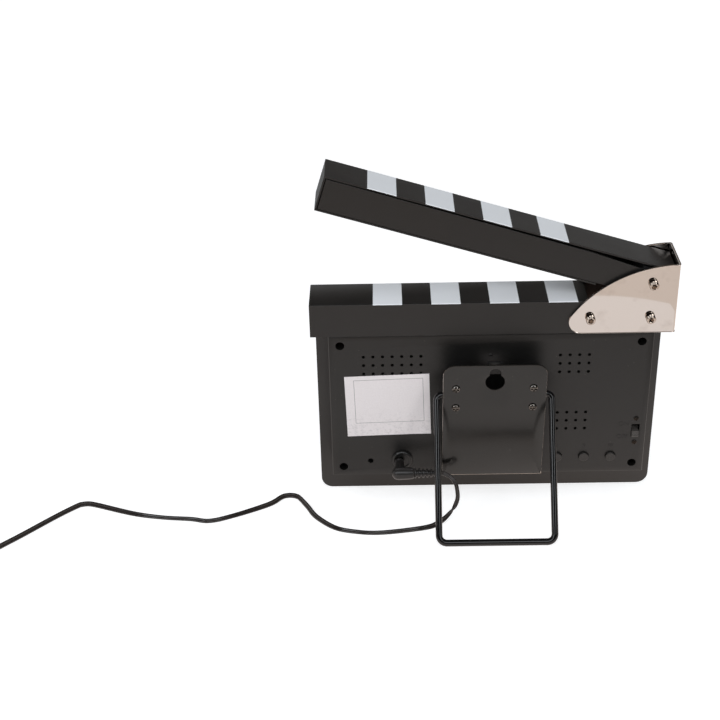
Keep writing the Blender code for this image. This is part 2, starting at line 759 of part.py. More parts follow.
def build_display(case):
    """The board behind the pane, the four numerals and the two lamps between them."""
    board_look = material("circuit_green", (0.012, 0.060, 0.028), 0.6)
    digit_look = material("numeral_red", (0.55, 0.012, 0.008), 0.4)
    lamp_look = material("lamp_red", (0.55, 0.012, 0.008), 0.3)
    board_front = DISPLAY_STANDOFF + CLEAR
    half_x = PANE_WIDTH / 2 + DISPLAY_MARGIN_X
    half_z = PANE_HEIGHT / 2 + DISPLAY_MARGIN_Z
    sheet = box_mesh(
        (BOARD_CENTRE_X - half_x, BOARD_CENTRE_X + half_x), (board_front, board_front + BOARD_SHEET),
        (PANE_CENTRE_Z - half_z, PANE_CENTRE_Z + half_z),
    )
    add_object("display_board", sheet, case, look=board_look)
    digit_pitch = DIGIT_WIDTH + DIGIT_GAP
    middle = COLON_WIDTH / 2 + DIGIT_GAP + DIGIT_WIDTH / 2
    offsets = (-middle - digit_pitch, -middle, middle, middle + digit_pitch)
    back = board_front - CLEAR
    front = back - DIGIT_DEPTH
    for number, (symbol, offset) in enumerate(zip(SHOWN_TIME, offsets), start=1):
        mesh = box_mesh(
            (-DIGIT_WIDTH / 2, DIGIT_WIDTH / 2), (front, back), (-DIGIT_HEIGHT / 2, DIGIT_HEIGHT / 2)
        )
        place = (BOARD_CENTRE_X + offset, 0, PANE_CENTRE_Z)
        digit = add_object(f"digit_{number}", mesh, case, place, look=digit_look)
        bars = bmesh.new()
        for x_range, z_range in glyph_bars(symbol):
            box_mesh(x_range, (front - GLYPH_RELIEF, front + GLYPH_RELIEF), z_range, bars)
        combine(digit, add_object(f"digit_{number}_bars", bars, case, place), "UNION")
    lamps = box_mesh(
        (-COLON_WIDTH / 2, COLON_WIDTH / 2), (front, back), (-DIGIT_HEIGHT / 2, DIGIT_HEIGHT / 2)
    )
    place = (BOARD_CENTRE_X, 0, PANE_CENTRE_Z)
    colon = add_object("colon_lamps", lamps, case, place, look=lamp_look)
    dots = bmesh.new()
    for level in (-COLON_LAMP_RISE, COLON_LAMP_RISE):
        rod_mesh(
            COLON_LAMP_RADIUS, front - GLYPH_RELIEF, front + GLYPH_RELIEF, centre=(0, level), mesh=dots
        )
    combine(colon, add_object("colon_dots", dots, case, place), "UNION")


def vent_places():
    """The centres of all vent holes, in three fields."""
    fields = (
        (LEFT_VENT_X, LEFT_VENT_DROP, LEFT_VENT_COLUMNS),
        (RIGHT_VENT_X, RIGHT_VENT_DROP, RIGHT_VENT_COLUMNS),
        (RIGHT_VENT_X, LOW_VENT_DROP, RIGHT_VENT_COLUMNS),
    )
    return [
        (COVER_CENTRE_X + x - VENT_PITCH_X * column, COVER_TOP - drop - VENT_PITCH_Z * row)
        for x, drop, columns in fields for row in range(VENT_ROWS) for column in range(columns)
    ]


def build_cover(case):
    """The shallow box on the back, open toward the board."""
    look = material("case_black", (0.040, 0.036, 0.034), 0.5)
    half = COVER_WIDTH / 2
    mesh = box_mesh(
        (COVER_CENTRE_X - half, COVER_CENTRE_X + half), (CLEAR, PANEL_Y), (COVER_BOTTOM, COVER_TOP)
    )
    bevel_edges(mesh, COVER_EDGE, lambda middle, edge: middle.y > PANEL_INNER_Y)
    cover = add_object("rear_cover", mesh, case, look=look)
    inner = half - COVER_WALL
    cavity = box_mesh(
        (COVER_CENTRE_X - inner, COVER_CENTRE_X + inner), (-OVERRUN, PANEL_INNER_Y),
        (COVER_BOTTOM + COVER_WALL, COVER_TOP - COVER_WALL),
    )
    combine(cover, add_object("cover_cavity", cavity, case), "DIFFERENCE")
    posts = bmesh.new()
    seat = PANEL_Y - COVER_WALL / 2
    reach = WELL_RADIUS + WELL_WALL
    middle_z = COVER_BOTTOM + COVER_HEIGHT / 2
    for x, z in well_places():
        wall_x = COVER_CENTRE_X + math.copysign(half - COVER_WALL / 2, x - COVER_CENTRE_X)
        wall_z = COVER_TOP - COVER_WALL / 2 if z > middle_z else COVER_BOTTOM + COVER_WALL / 2
        inner_x = x - math.copysign(reach, x - COVER_CENTRE_X)
        inner_z = z - math.copysign(reach, z - middle_z)
        box_mesh(
            sorted((wall_x, inner_x)), (CLEAR + POST_SETBACK, seat), sorted((wall_z, inner_z)), posts
        )
    for place in board_post_places():
        rod_mesh(BOARD_POST_RADIUS, BUTTON_BOARD_Y + CLEAR, seat, centre=place, mesh=posts)
    combine(cover, add_object("cover_posts", posts, case), "UNION")
    holes = bmesh.new()
    past = PANEL_Y + OVERRUN
    inside = PANEL_INNER_Y - OVERRUN
    for place in vent_places():
        rod_mesh(VENT_RADIUS, inside, past, VENT_SIDES, centre=place, mesh=holes)
    for place in well_places():
        floor = CLEAR + POST_SETBACK + WELL_FLOOR
        step = COVER_SCREW_RADIUS + CLEAR
        profile = [(0, -OVERRUN), (step, -OVERRUN), (step, floor), (WELL_RADIUS, floor)]
        turned_mesh(profile + [(WELL_RADIUS, past), (0, past)], SMALL_SIDES, centre=place, mesh=holes)
    for x in button_places():
        rod_mesh(BUTTON_RADIUS + CLEAR, inside, past, ROUND_SIDES, centre=(x, BUTTON_ROW_Z), mesh=holes)
    rod_mesh(
        JACK_SLEEVE_RADIUS + CLEAR, inside, past, ROUND_SIDES,
        centre=(COVER_CENTRE_X + JACK_X, JACK_Z), mesh=holes,
    )
    rod_mesh(
        SIDE_SOCKET_RADIUS, inside, past, ROUND_SIDES,
        centre=(COVER_CENTRE_X + SIDE_SOCKET_X, COVER_BOTTOM + SIDE_SOCKET_RISE), mesh=holes,
    )
    switch_x = COVER_CENTRE_X + SWITCH_X
    box_mesh(
        (switch_x - SLOT_WIDTH / 2, switch_x + SLOT_WIDTH / 2), (inside, past),
        (SWITCH_Z - SLOT_HEIGHT / 2, SWITCH_Z + SLOT_HEIGHT / 2), holes,
    )
    for z in switch_screw_heights():
        rod_mesh(SWITCH_SCREW_RADIUS + CLEAR, inside, past, centre=(switch_x, z), mesh=holes)
    rod_mesh(
        GATE_MARK_RADIUS, PANEL_Y - GATE_MARK_DEPTH, past, VENT_SIDES,
        centre=(COVER_CENTRE_X + GATE_MARK_X, COVER_TOP - GATE_MARK_DROP), mesh=holes,
    )
    combine(cover, add_object("cover_holes", holes, case), "DIFFERENCE")


def cross_cutter(radius, face_y, depth):
    """A cross-shaped recess for a screw head whose face is at face_y."""
    half = radius * CROSS_LENGTH_SHARE
    mesh = box_mesh((-half, half), (face_y - depth, face_y + OVERRUN), (-CROSS_WIDTH / 2, CROSS_WIDTH / 2))
    return mesh


def build_cover_screws(case):
    """Four screws at the bottom of the wells."""
    look = material("screw_zinc", (0.42, 0.42, 0.43), 0.4, 1.0)
    seat = CLEAR + POST_SETBACK + WELL_FLOOR + CLEAR
    profile = [
        (0, -COVER_SCREW_BITE), (COVER_SCREW_RADIUS, -COVER_SCREW_BITE), (COVER_SCREW_RADIUS, seat),
        (COVER_SCREW_HEAD_RADIUS, seat), (COVER_SCREW_HEAD_RADIUS, seat + COVER_SCREW_HEAD),
        (0, seat + COVER_SCREW_HEAD),
    ]
    for number, (x, z) in enumerate(well_places(), start=1):
        mesh = turned_mesh(profile, SMALL_SIDES)
        name = f"cover_screw_{number}"
        screw = add_object(name, mesh, case, (x, 0, z), look=look, smooth=True)
        face = seat + COVER_SCREW_HEAD
        recess = cross_cutter(COVER_SCREW_HEAD_RADIUS, face, COVER_SCREW_HEAD * CROSS_DEPTH_SHARE)
        combine(screw, add_object(f"{name}_slot", recess, case, (x, 0, z)), "DIFFERENCE")


def build_buzzer(case):
    """The sounder behind the upper left vents."""
    look = material("buzzer_black", (0.02, 0.02, 0.02), 0.5)
    top = PANEL_INNER_Y - CLEAR
    profile = [
        (0, top - BUZZER_DEPTH), (BUZZER_RADIUS, top - BUZZER_DEPTH), (BUZZER_RADIUS, top),
        (BUZZER_PORT_RADIUS, top), (BUZZER_PORT_RADIUS, top - BUZZER_PORT_DEPTH),
        (0, top - BUZZER_PORT_DEPTH),
    ]
    x = COVER_CENTRE_X + LEFT_VENT_X - VENT_PITCH_X * (LEFT_VENT_COLUMNS - 1) / 2
    z = COVER_TOP - LEFT_VENT_DROP - VENT_PITCH_Z * (VENT_ROWS - 1) / 2
    add_object("buzzer", turned_mesh(profile, ROUND_SIDES), case, (x, 0, z), look=look, smooth=True)


def build_jack(case):
    """The power socket: a bevelled boss, a sleeve and a pin in an off-centre bore."""
    look = material("jack_black", (0.045, 0.042, 0.040), 0.5)
    base = PANEL_Y + CLEAR
    face = PANEL_Y + JACK_PROUD
    back = face - JACK_SLEEVE_DEPTH
    profile = [
        (0, back), (JACK_SLEEVE_RADIUS, back), (JACK_SLEEVE_RADIUS, base), (JACK_RADIUS, base),
        (JACK_RADIUS, face - JACK_CHAMFER), (JACK_RADIUS - JACK_CHAMFER, face),
        (JACK_DISH_RADIUS, face), (JACK_DISH_RADIUS - JACK_DISH_DEPTH, face - JACK_DISH_DEPTH),
        (0, face - JACK_DISH_DEPTH),
    ]
    place = (COVER_CENTRE_X + JACK_X, 0, JACK_Z)
    jack = add_object("dc_jack", turned_mesh(profile, ROUND_SIDES), case, place, look=look, smooth=True)
    floor = face - JACK_BORE_DEPTH
    past = face + OVERRUN
    top = face - JACK_DISH_DEPTH - CLEAR
    bore = rod_mesh(JACK_BORE_RADIUS, floor, past, ROUND_SIDES, centre=(JACK_BORE_OFFSET, 0))
    combine(jack, add_object("jack_bore", bore, case, place), "DIFFERENCE")
    pin = rod_mesh(
        JACK_PIN_RADIUS, floor - JACK_CHAMFER, top, VENT_SIDES, centre=(JACK_BORE_OFFSET, 0)
    )
    combine(jack, add_object("jack_pin", pin, case, place), "UNION")


def build_side_socket(case):
    """The sleeve behind the small hole beside the power socket."""
    look = material("socket_black", (0.015, 0.015, 0.015), 0.5)
    top = PANEL_INNER_Y - CLEAR
    back = top - SIDE_SOCKET_DEPTH
    floor = top - SIDE_SOCKET_BORE_DEPTH
    outer = SIDE_SOCKET_RADIUS + SIDE_SOCKET_WALL
    profile = [
        (0, back), (outer, back), (outer, top), (SIDE_SOCKET_RADIUS, top), (SIDE_SOCKET_RADIUS, floor),
        (0, floor),
    ]
    place = (COVER_CENTRE_X + SIDE_SOCKET_X, 0, COVER_BOTTOM + SIDE_SOCKET_RISE)
    add_object("side_socket", turned_mesh(profile, SMALL_SIDES), case, place, look=look, smooth=True)


def build_buttons(case):
    """Three round caps, each with a flange behind the panel and a stem."""
    look = material("button_black", (0.035, 0.033, 0.032), 0.45)
    flange_top = PANEL_INNER_Y - CLEAR
    flange_bottom = flange_top - BUTTON_FLANGE
    face = PANEL_Y + BUTTON_PROUD
    profile = [
        (0, BUTTON_STEM_END_Y), (BUTTON_STEM_RADIUS, BUTTON_STEM_END_Y),
        (BUTTON_STEM_RADIUS, flange_bottom), (BUTTON_FLANGE_RADIUS, flange_bottom),
        (BUTTON_FLANGE_RADIUS, flange_top), (BUTTON_RADIUS, flange_top),
        (BUTTON_RADIUS, face - BUTTON_CROWN), (BUTTON_RADIUS - BUTTON_CROWN, face), (0, face),
    ]
    for name, x in zip(BUTTON_NAMES, button_places()):
        place = (x, 0, BUTTON_ROW_Z)
        add_object(name, turned_mesh(profile, ROUND_SIDES), case, place, look=look, smooth=True)


def build_button_board(case):
    """The board with a snap dome under each button, notched round the corner post."""
    look = material("button_board_green", (0.012, 0.060, 0.028), 0.6)
    x_range, z_range = button_board_box()
    sheet = box_mesh(x_range, (BUTTON_BOARD_Y - BOARD_SHEET, BUTTON_BOARD_Y), z_range)
    board = add_object("button_board", sheet, case, look=look)
    corner_x, corner_z = min(well_places())
    reach = WELL_RADIUS + WELL_WALL + CLEAR
    notch = box_mesh(
        (x_range[0] - OVERRUN, corner_x + reach),
        (BUTTON_BOARD_Y - BOARD_SHEET - OVERRUN, BUTTON_BOARD_Y + OVERRUN),
        (z_range[0] - OVERRUN, corner_z + reach),
    )
    combine(board, add_object("board_notch", notch, case), "DIFFERENCE")
    domes = bmesh.new()
    base = BUTTON_BOARD_Y - BOARD_SHEET / 2
    top = BUTTON_BOARD_Y + DOME_HEIGHT
    for x in button_places():
        profile = [(0, base), (DOME_RADIUS, base), (DOME_RADIUS, BUTTON_BOARD_Y + DOME_HEIGHT / 2)]
        profile += [(DOME_TOP_RADIUS, top), (0, top)]
        turned_mesh(profile, SMALL_SIDES, centre=(x, BUTTON_ROW_Z), mesh=domes)
    combine(board, add_object("snap_domes", domes, case), "UNION")


def switch_screw_heights():
    """The z of the slide switch's two screws."""
    return (SWITCH_Z + SWITCH_SCREW_PITCH / 2, SWITCH_Z - SWITCH_SCREW_PITCH / 2)


def build_switch(case):
    """The slide switch: its knob at the lower end, its folded frame and its two screws."""
    frame_look = material("switch_steel", (0.45, 0.45, 0.46), 0.35, 1.0)
    knob_look = material("switch_knob_black", (0.02, 0.02, 0.02), 0.45)
    screw_look = material("switch_screw_black", (0.03, 0.03, 0.03), 0.4, 1.0)
    x = COVER_CENTRE_X + SWITCH_X
    sheet_top = PANEL_INNER_Y - CLEAR
    sheet_bottom = sheet_top - SWITCH_SHEET
    body_back = sheet_bottom - SWITCH_BODY_DEPTH
    half_width = SWITCH_FRAME_WIDTH / 2
    half_height = SWITCH_FRAME_HEIGHT / 2
    mesh = box_mesh((-half_width, half_width), (sheet_bottom, sheet_top), (-half_height, half_height))
    place = (x, 0, SWITCH_Z)
    made = add_object("switch_frame", mesh, case, place, look=frame_look)
    half_body = SWITCH_BODY_HEIGHT / 2
    lip = SWITCH_SHEET / 2
    body = box_mesh(
        (-half_width + lip, half_width - lip), (body_back, sheet_bottom + lip),
        (-half_body, half_body),
    )
    combine(made, add_object("switch_body", body, case, place), "UNION")
    inner_width = half_width - lip - SWITCH_SHEET
    hollow = box_mesh(
        (-inner_width, inner_width), (body_back + SWITCH_SHEET, sheet_bottom),
        (-half_body + SWITCH_SHEET, half_body - SWITCH_SHEET),
    )
    combine(made, add_object("switch_hollow", hollow, case, place), "DIFFERENCE")
    window = box_mesh(
        (-SLOT_WIDTH / 2, SLOT_WIDTH / 2), (sheet_bottom - lip, sheet_top + OVERRUN),
        (-SLOT_HEIGHT / 2, SLOT_HEIGHT / 2),
    )
    for offset in (-SWITCH_SCREW_PITCH / 2, SWITCH_SCREW_PITCH / 2):
        rod_mesh(
            SWITCH_SCREW_RADIUS + CLEAR, body_back - OVERRUN, sheet_top + OVERRUN, VENT_SIDES,
            centre=(0, offset), mesh=window,
        )
    combine(made, add_object("switch_window", window, case, place), "DIFFERENCE")
    knob_z = SWITCH_Z - (SLOT_HEIGHT - KNOB_HEIGHT) / 2 + CLEAR
    foot_bottom = body_back + SWITCH_SHEET + CLEAR
    foot_top = sheet_bottom - CLEAR
    foot_half = KNOB_WIDTH / 2 + CLEAR
    foot_reach = KNOB_HEIGHT / 2 + KNOB_FOOT_MARGIN
    foot = box_mesh(
        (-foot_half, foot_half), (foot_bottom, foot_bottom + KNOB_FOOT), (-foot_reach, foot_reach)
    )
    knob = add_object("switch_knob", foot, case, (x, 0, knob_z), look=knob_look)
    face = PANEL_Y + KNOB_PROUD
    stem = box_mesh(
        (-KNOB_WIDTH / 2, KNOB_WIDTH / 2), (foot_bottom + KNOB_FOOT / 2, face),
        (-KNOB_HEIGHT / 2, KNOB_HEIGHT / 2),
    )
    combine(knob, add_object("knob_stem", stem, case, (x, 0, knob_z)), "UNION")
    grooves = bmesh.new()
    pitch = KNOB_HEIGHT / (KNOB_RIBS + 1)
    for index in range(KNOB_RIBS):
        level = -KNOB_HEIGHT / 2 + pitch * (index + 1)
        box_mesh(
            (-KNOB_WIDTH, KNOB_WIDTH), (face - KNOB_RIB_DEPTH, face + OVERRUN),
            (level - KNOB_RIB_WIDTH / 2, level + KNOB_RIB_WIDTH / 2), grooves,
        )
    combine(knob, add_object("knob_grooves", grooves, case, (x, 0, knob_z)), "DIFFERENCE")
    seat = PANEL_Y + CLEAR
    profile = [
        (0, seat - SWITCH_SCREW_LENGTH), (SWITCH_SCREW_RADIUS, seat - SWITCH_SCREW_LENGTH),
        (SWITCH_SCREW_RADIUS, seat), (SWITCH_SCREW_HEAD_RADIUS, seat),
        (SWITCH_SCREW_HEAD_RADIUS, seat + SWITCH_SCREW_HEAD / 2),
        (SWITCH_SCREW_HEAD_RADIUS / 2, seat + SWITCH_SCREW_HEAD), (0, seat + SWITCH_SCREW_HEAD),
    ]
    for number, z in enumerate(switch_screw_heights(), start=1):
        mesh = turned_mesh(profile, SMALL_SIDES)
        add_object(f"switch_screw_{number}", mesh, case, (x, 0, z), look=screw_look, smooth=True)


def build_label(case):
    """The blank paper label, stuck on slightly turned."""
    look = material("label_paper", (0.64, 0.60, 0.60), 0.7)
    half_width = LABEL_WIDTH / 2
    half_height = LABEL_HEIGHT / 2
    outline = rounded_box(-half_width, half_width, -half_height, half_height, (LABEL_CORNER,) * 4)
    mesh = prism_mesh(outline, 0, LABEL_THICKNESS)
    place = (COVER_CENTRE_X + LABEL_X, PANEL_Y + LABEL_LIFT, COVER_BOTTOM + LABEL_RISE)
    add_object("rating_label", mesh, case, place, (0, LABEL_TURN, 0), look)


def bolt_hole_cutter(places, mesh=None):
    """Clearance holes through both sides of the bracket or a stick."""
    mesh = mesh or bmesh.new()
    for place in places:
        rod_mesh(
            BOLT_HOLE_RADIUS, BRACKET_FRONT_Y - OVERRUN, BRACKET_REAR_Y + OVERRUN, centre=place, mesh=mesh
        )
    return mesh


def fixed_bolt_places():
    """The centres of the bracket's fixed screws."""
    return [(BOLT_FAR_X, STICK_TOP_Z - BOLT_DROP), (BOLT_NEAR_X, STICK_TOP_Z - BOLT_DROP)]


def build_lower_stick(case):
    """The fixed stick: a folded channel, open below and cut away over the wood block."""
    look = material("stick_black", (0.045, 0.042, 0.040), 0.5)
    bottom = BOARD_HEIGHT + CLEAR
    mesh = box_mesh((STICK_RIGHT_X, STICK_LEFT_X), (STICK_FRONT_Y, STICK_REAR_Y), (bottom, STICK_TOP_Z))
    bevel_edges(mesh, STICK_EDGE, lambda middle, edge: middle.z > STICK_TOP_Z - STICK_SHEET)
    stick = add_object("lower_stick", mesh, case, look=look)
    inside = (STICK_FRONT_Y + STICK_SHEET, STICK_REAR_Y - STICK_SHEET)
    hollow = box_mesh(
        (STICK_RIGHT_X - OVERRUN, STICK_LEFT_X - STICK_SHEET), inside,
        (bottom - OVERRUN, STICK_TOP_Z - STICK_SHEET),
    )
    combine(stick, add_object("stick_hollow", hollow, case), "DIFFERENCE")
    opening = box_mesh(
        (STICK_RIGHT_X - OVERRUN, STICK_CUT_X), inside,
        (STICK_TOP_Z - STICK_SHEET - OVERRUN, STICK_TOP_Z + OVERRUN),
    )
    combine(stick, add_object("stick_cut", opening, case), "DIFFERENCE")
    holes = bolt_hole_cutter(fixed_bolt_places())
    combine(stick, add_object("stick_bolt_holes", holes, case), "DIFFERENCE")


def build_hinge_block(case):
    """The wood block that takes the bracket's screws."""
    look = material("block_brown", (0.050, 0.028, 0.018), 0.7)
    right = STICK_RIGHT_X + BLOCK_END_GAP
    front = STICK_FRONT_Y + STICK_SHEET + CLEAR
    back = STICK_REAR_Y - STICK_SHEET - CLEAR
    top = STICK_TOP_Z - STICK_SHEET - CLEAR
    mesh = box_mesh((right, right + BLOCK_LENGTH), (front, back), (BOARD_HEIGHT + 2 * CLEAR, top))
    block = add_object("hinge_block", mesh, case, look=look)
    holes = rod_mesh(
        BLOCK_HOLE_RADIUS, top - BLOCK_HOLE_DEPTH, top + OVERRUN, SMALL_SIDES, "Z",
        (BLOCK_HOLE_X, STICK_REAR_Y - BLOCK_HOLE_SETBACK),
    )
    rear_end = BRACKET_REAR_Y + CLEAR - BOLT_REACH - CLEAR
    front_end = BRACKET_FRONT_Y - CLEAR + BOLT_REACH + CLEAR
    for place in fixed_bolt_places():
        rod_mesh(BOLT_HOLE_RADIUS, rear_end, back + OVERRUN, centre=place, mesh=holes)
        rod_mesh(BOLT_HOLE_RADIUS, front - OVERRUN, front_end, centre=place, mesh=holes)
    combine(block, add_object("block_holes", holes, case), "DIFFERENCE")


def bracket_outline():
    """The side plate's outline in x and z: a long arc from the top to a round nose."""
    left = BRACKET_RIGHT_X - OVERRUN
    arc_z = BRACKET_TOP_Z - BRACKET_ARC_RADIUS
    nose_z = BRACKET_BOTTOM_Z + BRACKET_NOSE_RADIUS
    spread = BRACKET_ARC_RADIUS - BRACKET_NOSE_RADIUS
    nose_x = BRACKET_RIGHT_X + math.sqrt(spread ** 2 - (nose_z - arc_z) ** 2)
    joint = math.atan2(nose_z - arc_z, nose_x - BRACKET_RIGHT_X)
    points = [(left, BRACKET_BOTTOM_Z)]
    points += arc((nose_x, nose_z), BRACKET_NOSE_RADIUS, -math.pi / 2, joint, ARC_STEPS)
    points += arc((BRACKET_RIGHT_X, arc_z), BRACKET_ARC_RADIUS, joint, math.pi / 2, 2 * ARC_STEPS)[1:]
    points.append((left, BRACKET_TOP_Z))
    return points


def bracket_section():
    """The folded sheet in plan: two sides and an end, bent round the sticks."""
    right = BRACKET_RIGHT_X
    front = BRACKET_FRONT_Y
    rear = BRACKET_REAR_Y
    far = STICK_LEFT_X
    bend = BRACKET_BEND
    sheet = BRACKET_SHEET
    outer = [(far, front)]
    outer += arc((right + bend, front + bend), bend, 1.5 * math.pi, math.pi, BEND_STEPS)
    outer += arc((right + bend, rear - bend), bend, math.pi, 0.5 * math.pi, BEND_STEPS)
    outer.append((far, rear))
    inner = [
        (far, rear - sheet), (right + sheet, rear - sheet),
        (right + sheet, front + sheet), (far, front + sheet),
    ]
    return outer + inner


def build_bracket(case):
    """The bright U-shaped bracket round both sticks."""
    look = material("bracket_steel", (0.62, 0.55, 0.49), 0.2, 1.0)
    mesh = prism_mesh(bracket_section(), BRACKET_BOTTOM_Z - OVERRUN, BRACKET_TOP_Z + OVERRUN, "Z")
    bracket = add_object("hinge_bracket", mesh, case, look=look, smooth=True)
    shape = prism_mesh(bracket_outline(), BRACKET_FRONT_Y - OVERRUN, BRACKET_REAR_Y + OVERRUN)
    combine(bracket, add_object("bracket_shape", shape, case), "INTERSECT")
    holes = bolt_hole_cutter(fixed_bolt_places() + [(PIVOT_X, PIVOT_Z)])
    combine(bracket, add_object("bracket_holes", holes, case), "DIFFERENCE")


def build_bolt(name, case, place, look, reach, facing):
    """A socket screw whose head sits outside the bracket; facing is 1 behind and -1 in front."""
    profile = [
        (0, -reach), (BOLT_RADIUS, -reach), (BOLT_RADIUS, 0), (BOLT_HEAD_RADIUS, 0),
        (BOLT_HEAD_RADIUS, BOLT_HEAD - BOLT_HEAD_CHAMFER),
        (BOLT_HEAD_RADIUS - BOLT_HEAD_CHAMFER, BOLT_HEAD), (0, BOLT_HEAD),
    ]
    seat = BRACKET_REAR_Y + CLEAR if facing > 0 else BRACKET_FRONT_Y - CLEAR
    turn = (0, 0, 0) if facing > 0 else (0, 0, math.pi)
    where = (place[0], seat, place[1])
    bolt = add_object(name, turned_mesh(profile, ROUND_SIDES), case, where, turn, look, True)
    socket = rod_mesh(BOLT_SOCKET_RADIUS, BOLT_HEAD - BOLT_SOCKET_DEPTH, BOLT_HEAD + OVERRUN, 6)
    combine(bolt, add_object(f"{name}_socket", socket, case, where, turn), "DIFFERENCE")


def build_bolts(case):
    """The bracket's screws and the pivot bolt with its nut and washers."""
    look = material("bolt_steel", (0.60, 0.56, 0.52), 0.25, 1.0)
    number = 1
    for facing in (1, -1):
        for place in fixed_bolt_places():
            build_bolt(f"bracket_screw_{number}", case, place, look, BOLT_REACH, facing)
            number += 1
    nut_front = BRACKET_FRONT_Y - CLEAR - NUT_HEIGHT
    pivot = (PIVOT_X, PIVOT_Z)
    reach = BRACKET_REAR_Y + CLEAR - nut_front + BOLT_HEAD_CHAMFER
    build_bolt("pivot_bolt", case, pivot, look, reach, 1)
    nut = turned_mesh(
        [(BOLT_HOLE_RADIUS, nut_front), (NUT_RADIUS, nut_front),
         (NUT_RADIUS, nut_front + NUT_HEIGHT), (BOLT_HOLE_RADIUS, nut_front + NUT_HEIGHT)], 6,
    )
    add_object("pivot_nut", nut, case, (PIVOT_X, 0, PIVOT_Z), look=look)
    slack = (CLAPPER_SIDE_GAP - WASHER_THICKNESS) / 2
    starts = (CLAPPER_REAR_Y + slack, CLAPPER_FRONT_Y - slack - WASHER_THICKNESS)
    for number, start in enumerate(starts, start=1):
        ring = turned_mesh(
            [(BOLT_HOLE_RADIUS, start), (WASHER_RADIUS, start),
             (WASHER_RADIUS, start + WASHER_THICKNESS),
             (BOLT_HOLE_RADIUS, start + WASHER_THICKNESS)], SMALL_SIDES,
        )
        place = (PIVOT_X, 0, PIVOT_Z)
        add_object(f"pivot_washer_{number}", ring, case, place, look=look, smooth=True)


def clapper_outline(margin, lower, upper_left, upper_right, left):
    """The moving stick's side outline: its lower edge steps up near the pivot and is round at the tail."""
    tail = -CLAPPER_TAIL + margin
    low = lower + CLAPPER_CUT_STEP
    radius = CLAPPER_TAIL_CORNER - margin
    points = [(CLAPPER_CUT_X, lower), (left, lower), (left, upper_left), (tail, upper_right)]
    points += arc((tail + radius, low + radius), radius, math.pi, 1.5 * math.pi)
    points.append((CLAPPER_CUT_X, low))
    return points


def build_clapper(pivot):
    """The moving stick: a folded shell open at its back, its back plate and its pivot block."""
    look = material("clapper_black", (0.045, 0.042, 0.040), 0.5)
    back_look = material("clapper_back_black", (0.050, 0.047, 0.045), 0.5)
    block_look = material("pivot_block_black", (0.03, 0.03, 0.03), 0.6)
    half = CLAPPER_HALF_HEIGHT
    sheet = CLAPPER_SHEET
    outline = clapper_outline(0, -half, half, half, CLAPPER_REACH)
    shell_mesh = prism_mesh(outline, CLAPPER_FRONT_Y, CLAPPER_REAR_Y)
    shell = add_object("clapper_shell", shell_mesh, pivot, look=look)
    inner_front = CLAPPER_FRONT_Y + sheet
    past = CLAPPER_REAR_Y + OVERRUN
    cavity = [
        (CLAPPER_CUT_X, -half + sheet), (CLAPPER_REACH - sheet, -half + sheet),
        (CLAPPER_REACH - sheet, half - sheet), (-CLAPPER_TAIL + sheet, half - sheet),
        (-CLAPPER_TAIL + sheet, -half - OVERRUN), (CLAPPER_CUT_X, -half - OVERRUN),
    ]
    hollow = prism_mesh(cavity, inner_front, past)
    combine(shell, add_object("clapper_hollow", hollow, pivot), "DIFFERENCE")
    bore = rod_mesh(BOLT_HOLE_RADIUS, CLAPPER_FRONT_Y - OVERRUN, past)
    combine(shell, add_object("clapper_bore", bore, pivot), "DIFFERENCE")
    low = -half + sheet + CLEAR
    back_outline = clapper_outline(
        sheet + BACK_LEFT_GAP, low - CLAPPER_CUT_STEP, half - sheet - BACK_TOP_GAP,
        half - sheet - BACK_TOP_GAP_AT_TAIL, CLAPPER_REACH - sheet - BACK_LEFT_GAP,
    )
    back_outline[0] = (CLAPPER_CUT_X, low)
    back_outline[1] = (back_outline[1][0], low)
    back_outline.pop()
    back_mesh = prism_mesh(back_outline, CLAPPER_REAR_Y - sheet, CLAPPER_REAR_Y)
    back = add_object("clapper_back", back_mesh, pivot, look=back_look)
    bore = rod_mesh(BOLT_HOLE_RADIUS, inner_front, past)
    combine(back, add_object("clapper_back_bore", bore, pivot), "DIFFERENCE")
    radius = PIVOT_BLOCK_RADIUS
    block_outline = arc((0, 0), radius, math.pi, math.tau)
    block_top = half - sheet - BACK_TOP_GAP_AT_TAIL
    block_outline += [(radius, block_top), (-radius, block_top)]
    block_mesh = prism_mesh(block_outline, inner_front + CLEAR, CLAPPER_REAR_Y - sheet - CLEAR)
    block = add_object("pivot_block", block_mesh, pivot, look=block_look)
    bore = rod_mesh(BOLT_HOLE_RADIUS, CLAPPER_FRONT_Y, past)
    combine(block, add_object("pivot_block_bore", bore, pivot), "DIFFERENCE")


def build_closing_sensor(case, pivot):
    """The sensor under the fixed stick's top and the magnet that closes it."""
    sensor_look = material("sensor_black", (0.02, 0.02, 0.02), 0.5)
    magnet_look = material("magnet_steel", (0.5, 0.5, 0.5), 0.3, 1.0)
    left = STICK_LEFT_X - SENSOR_INSET
    middle = (STICK_FRONT_Y + STICK_REAR_Y) / 2
    y_range = (middle - SENSOR_DEPTH / 2, middle + SENSOR_DEPTH / 2)
    top = STICK_TOP_Z - STICK_SHEET - CLEAR
    sensor = box_mesh((left - SENSOR_LENGTH, left), y_range, (top - SENSOR_HEIGHT, top))
    add_object("closing_sensor", sensor, case, look=sensor_look)
    left_local = left - PIVOT_X
    bottom = -CLAPPER_HALF_HEIGHT + CLAPPER_SHEET + CLEAR
    magnet = box_mesh((left_local - SENSOR_LENGTH, left_local), y_range, (bottom, bottom + SENSOR_HEIGHT))
    add_object("closing_magnet", magnet, pivot, look=magnet_look)


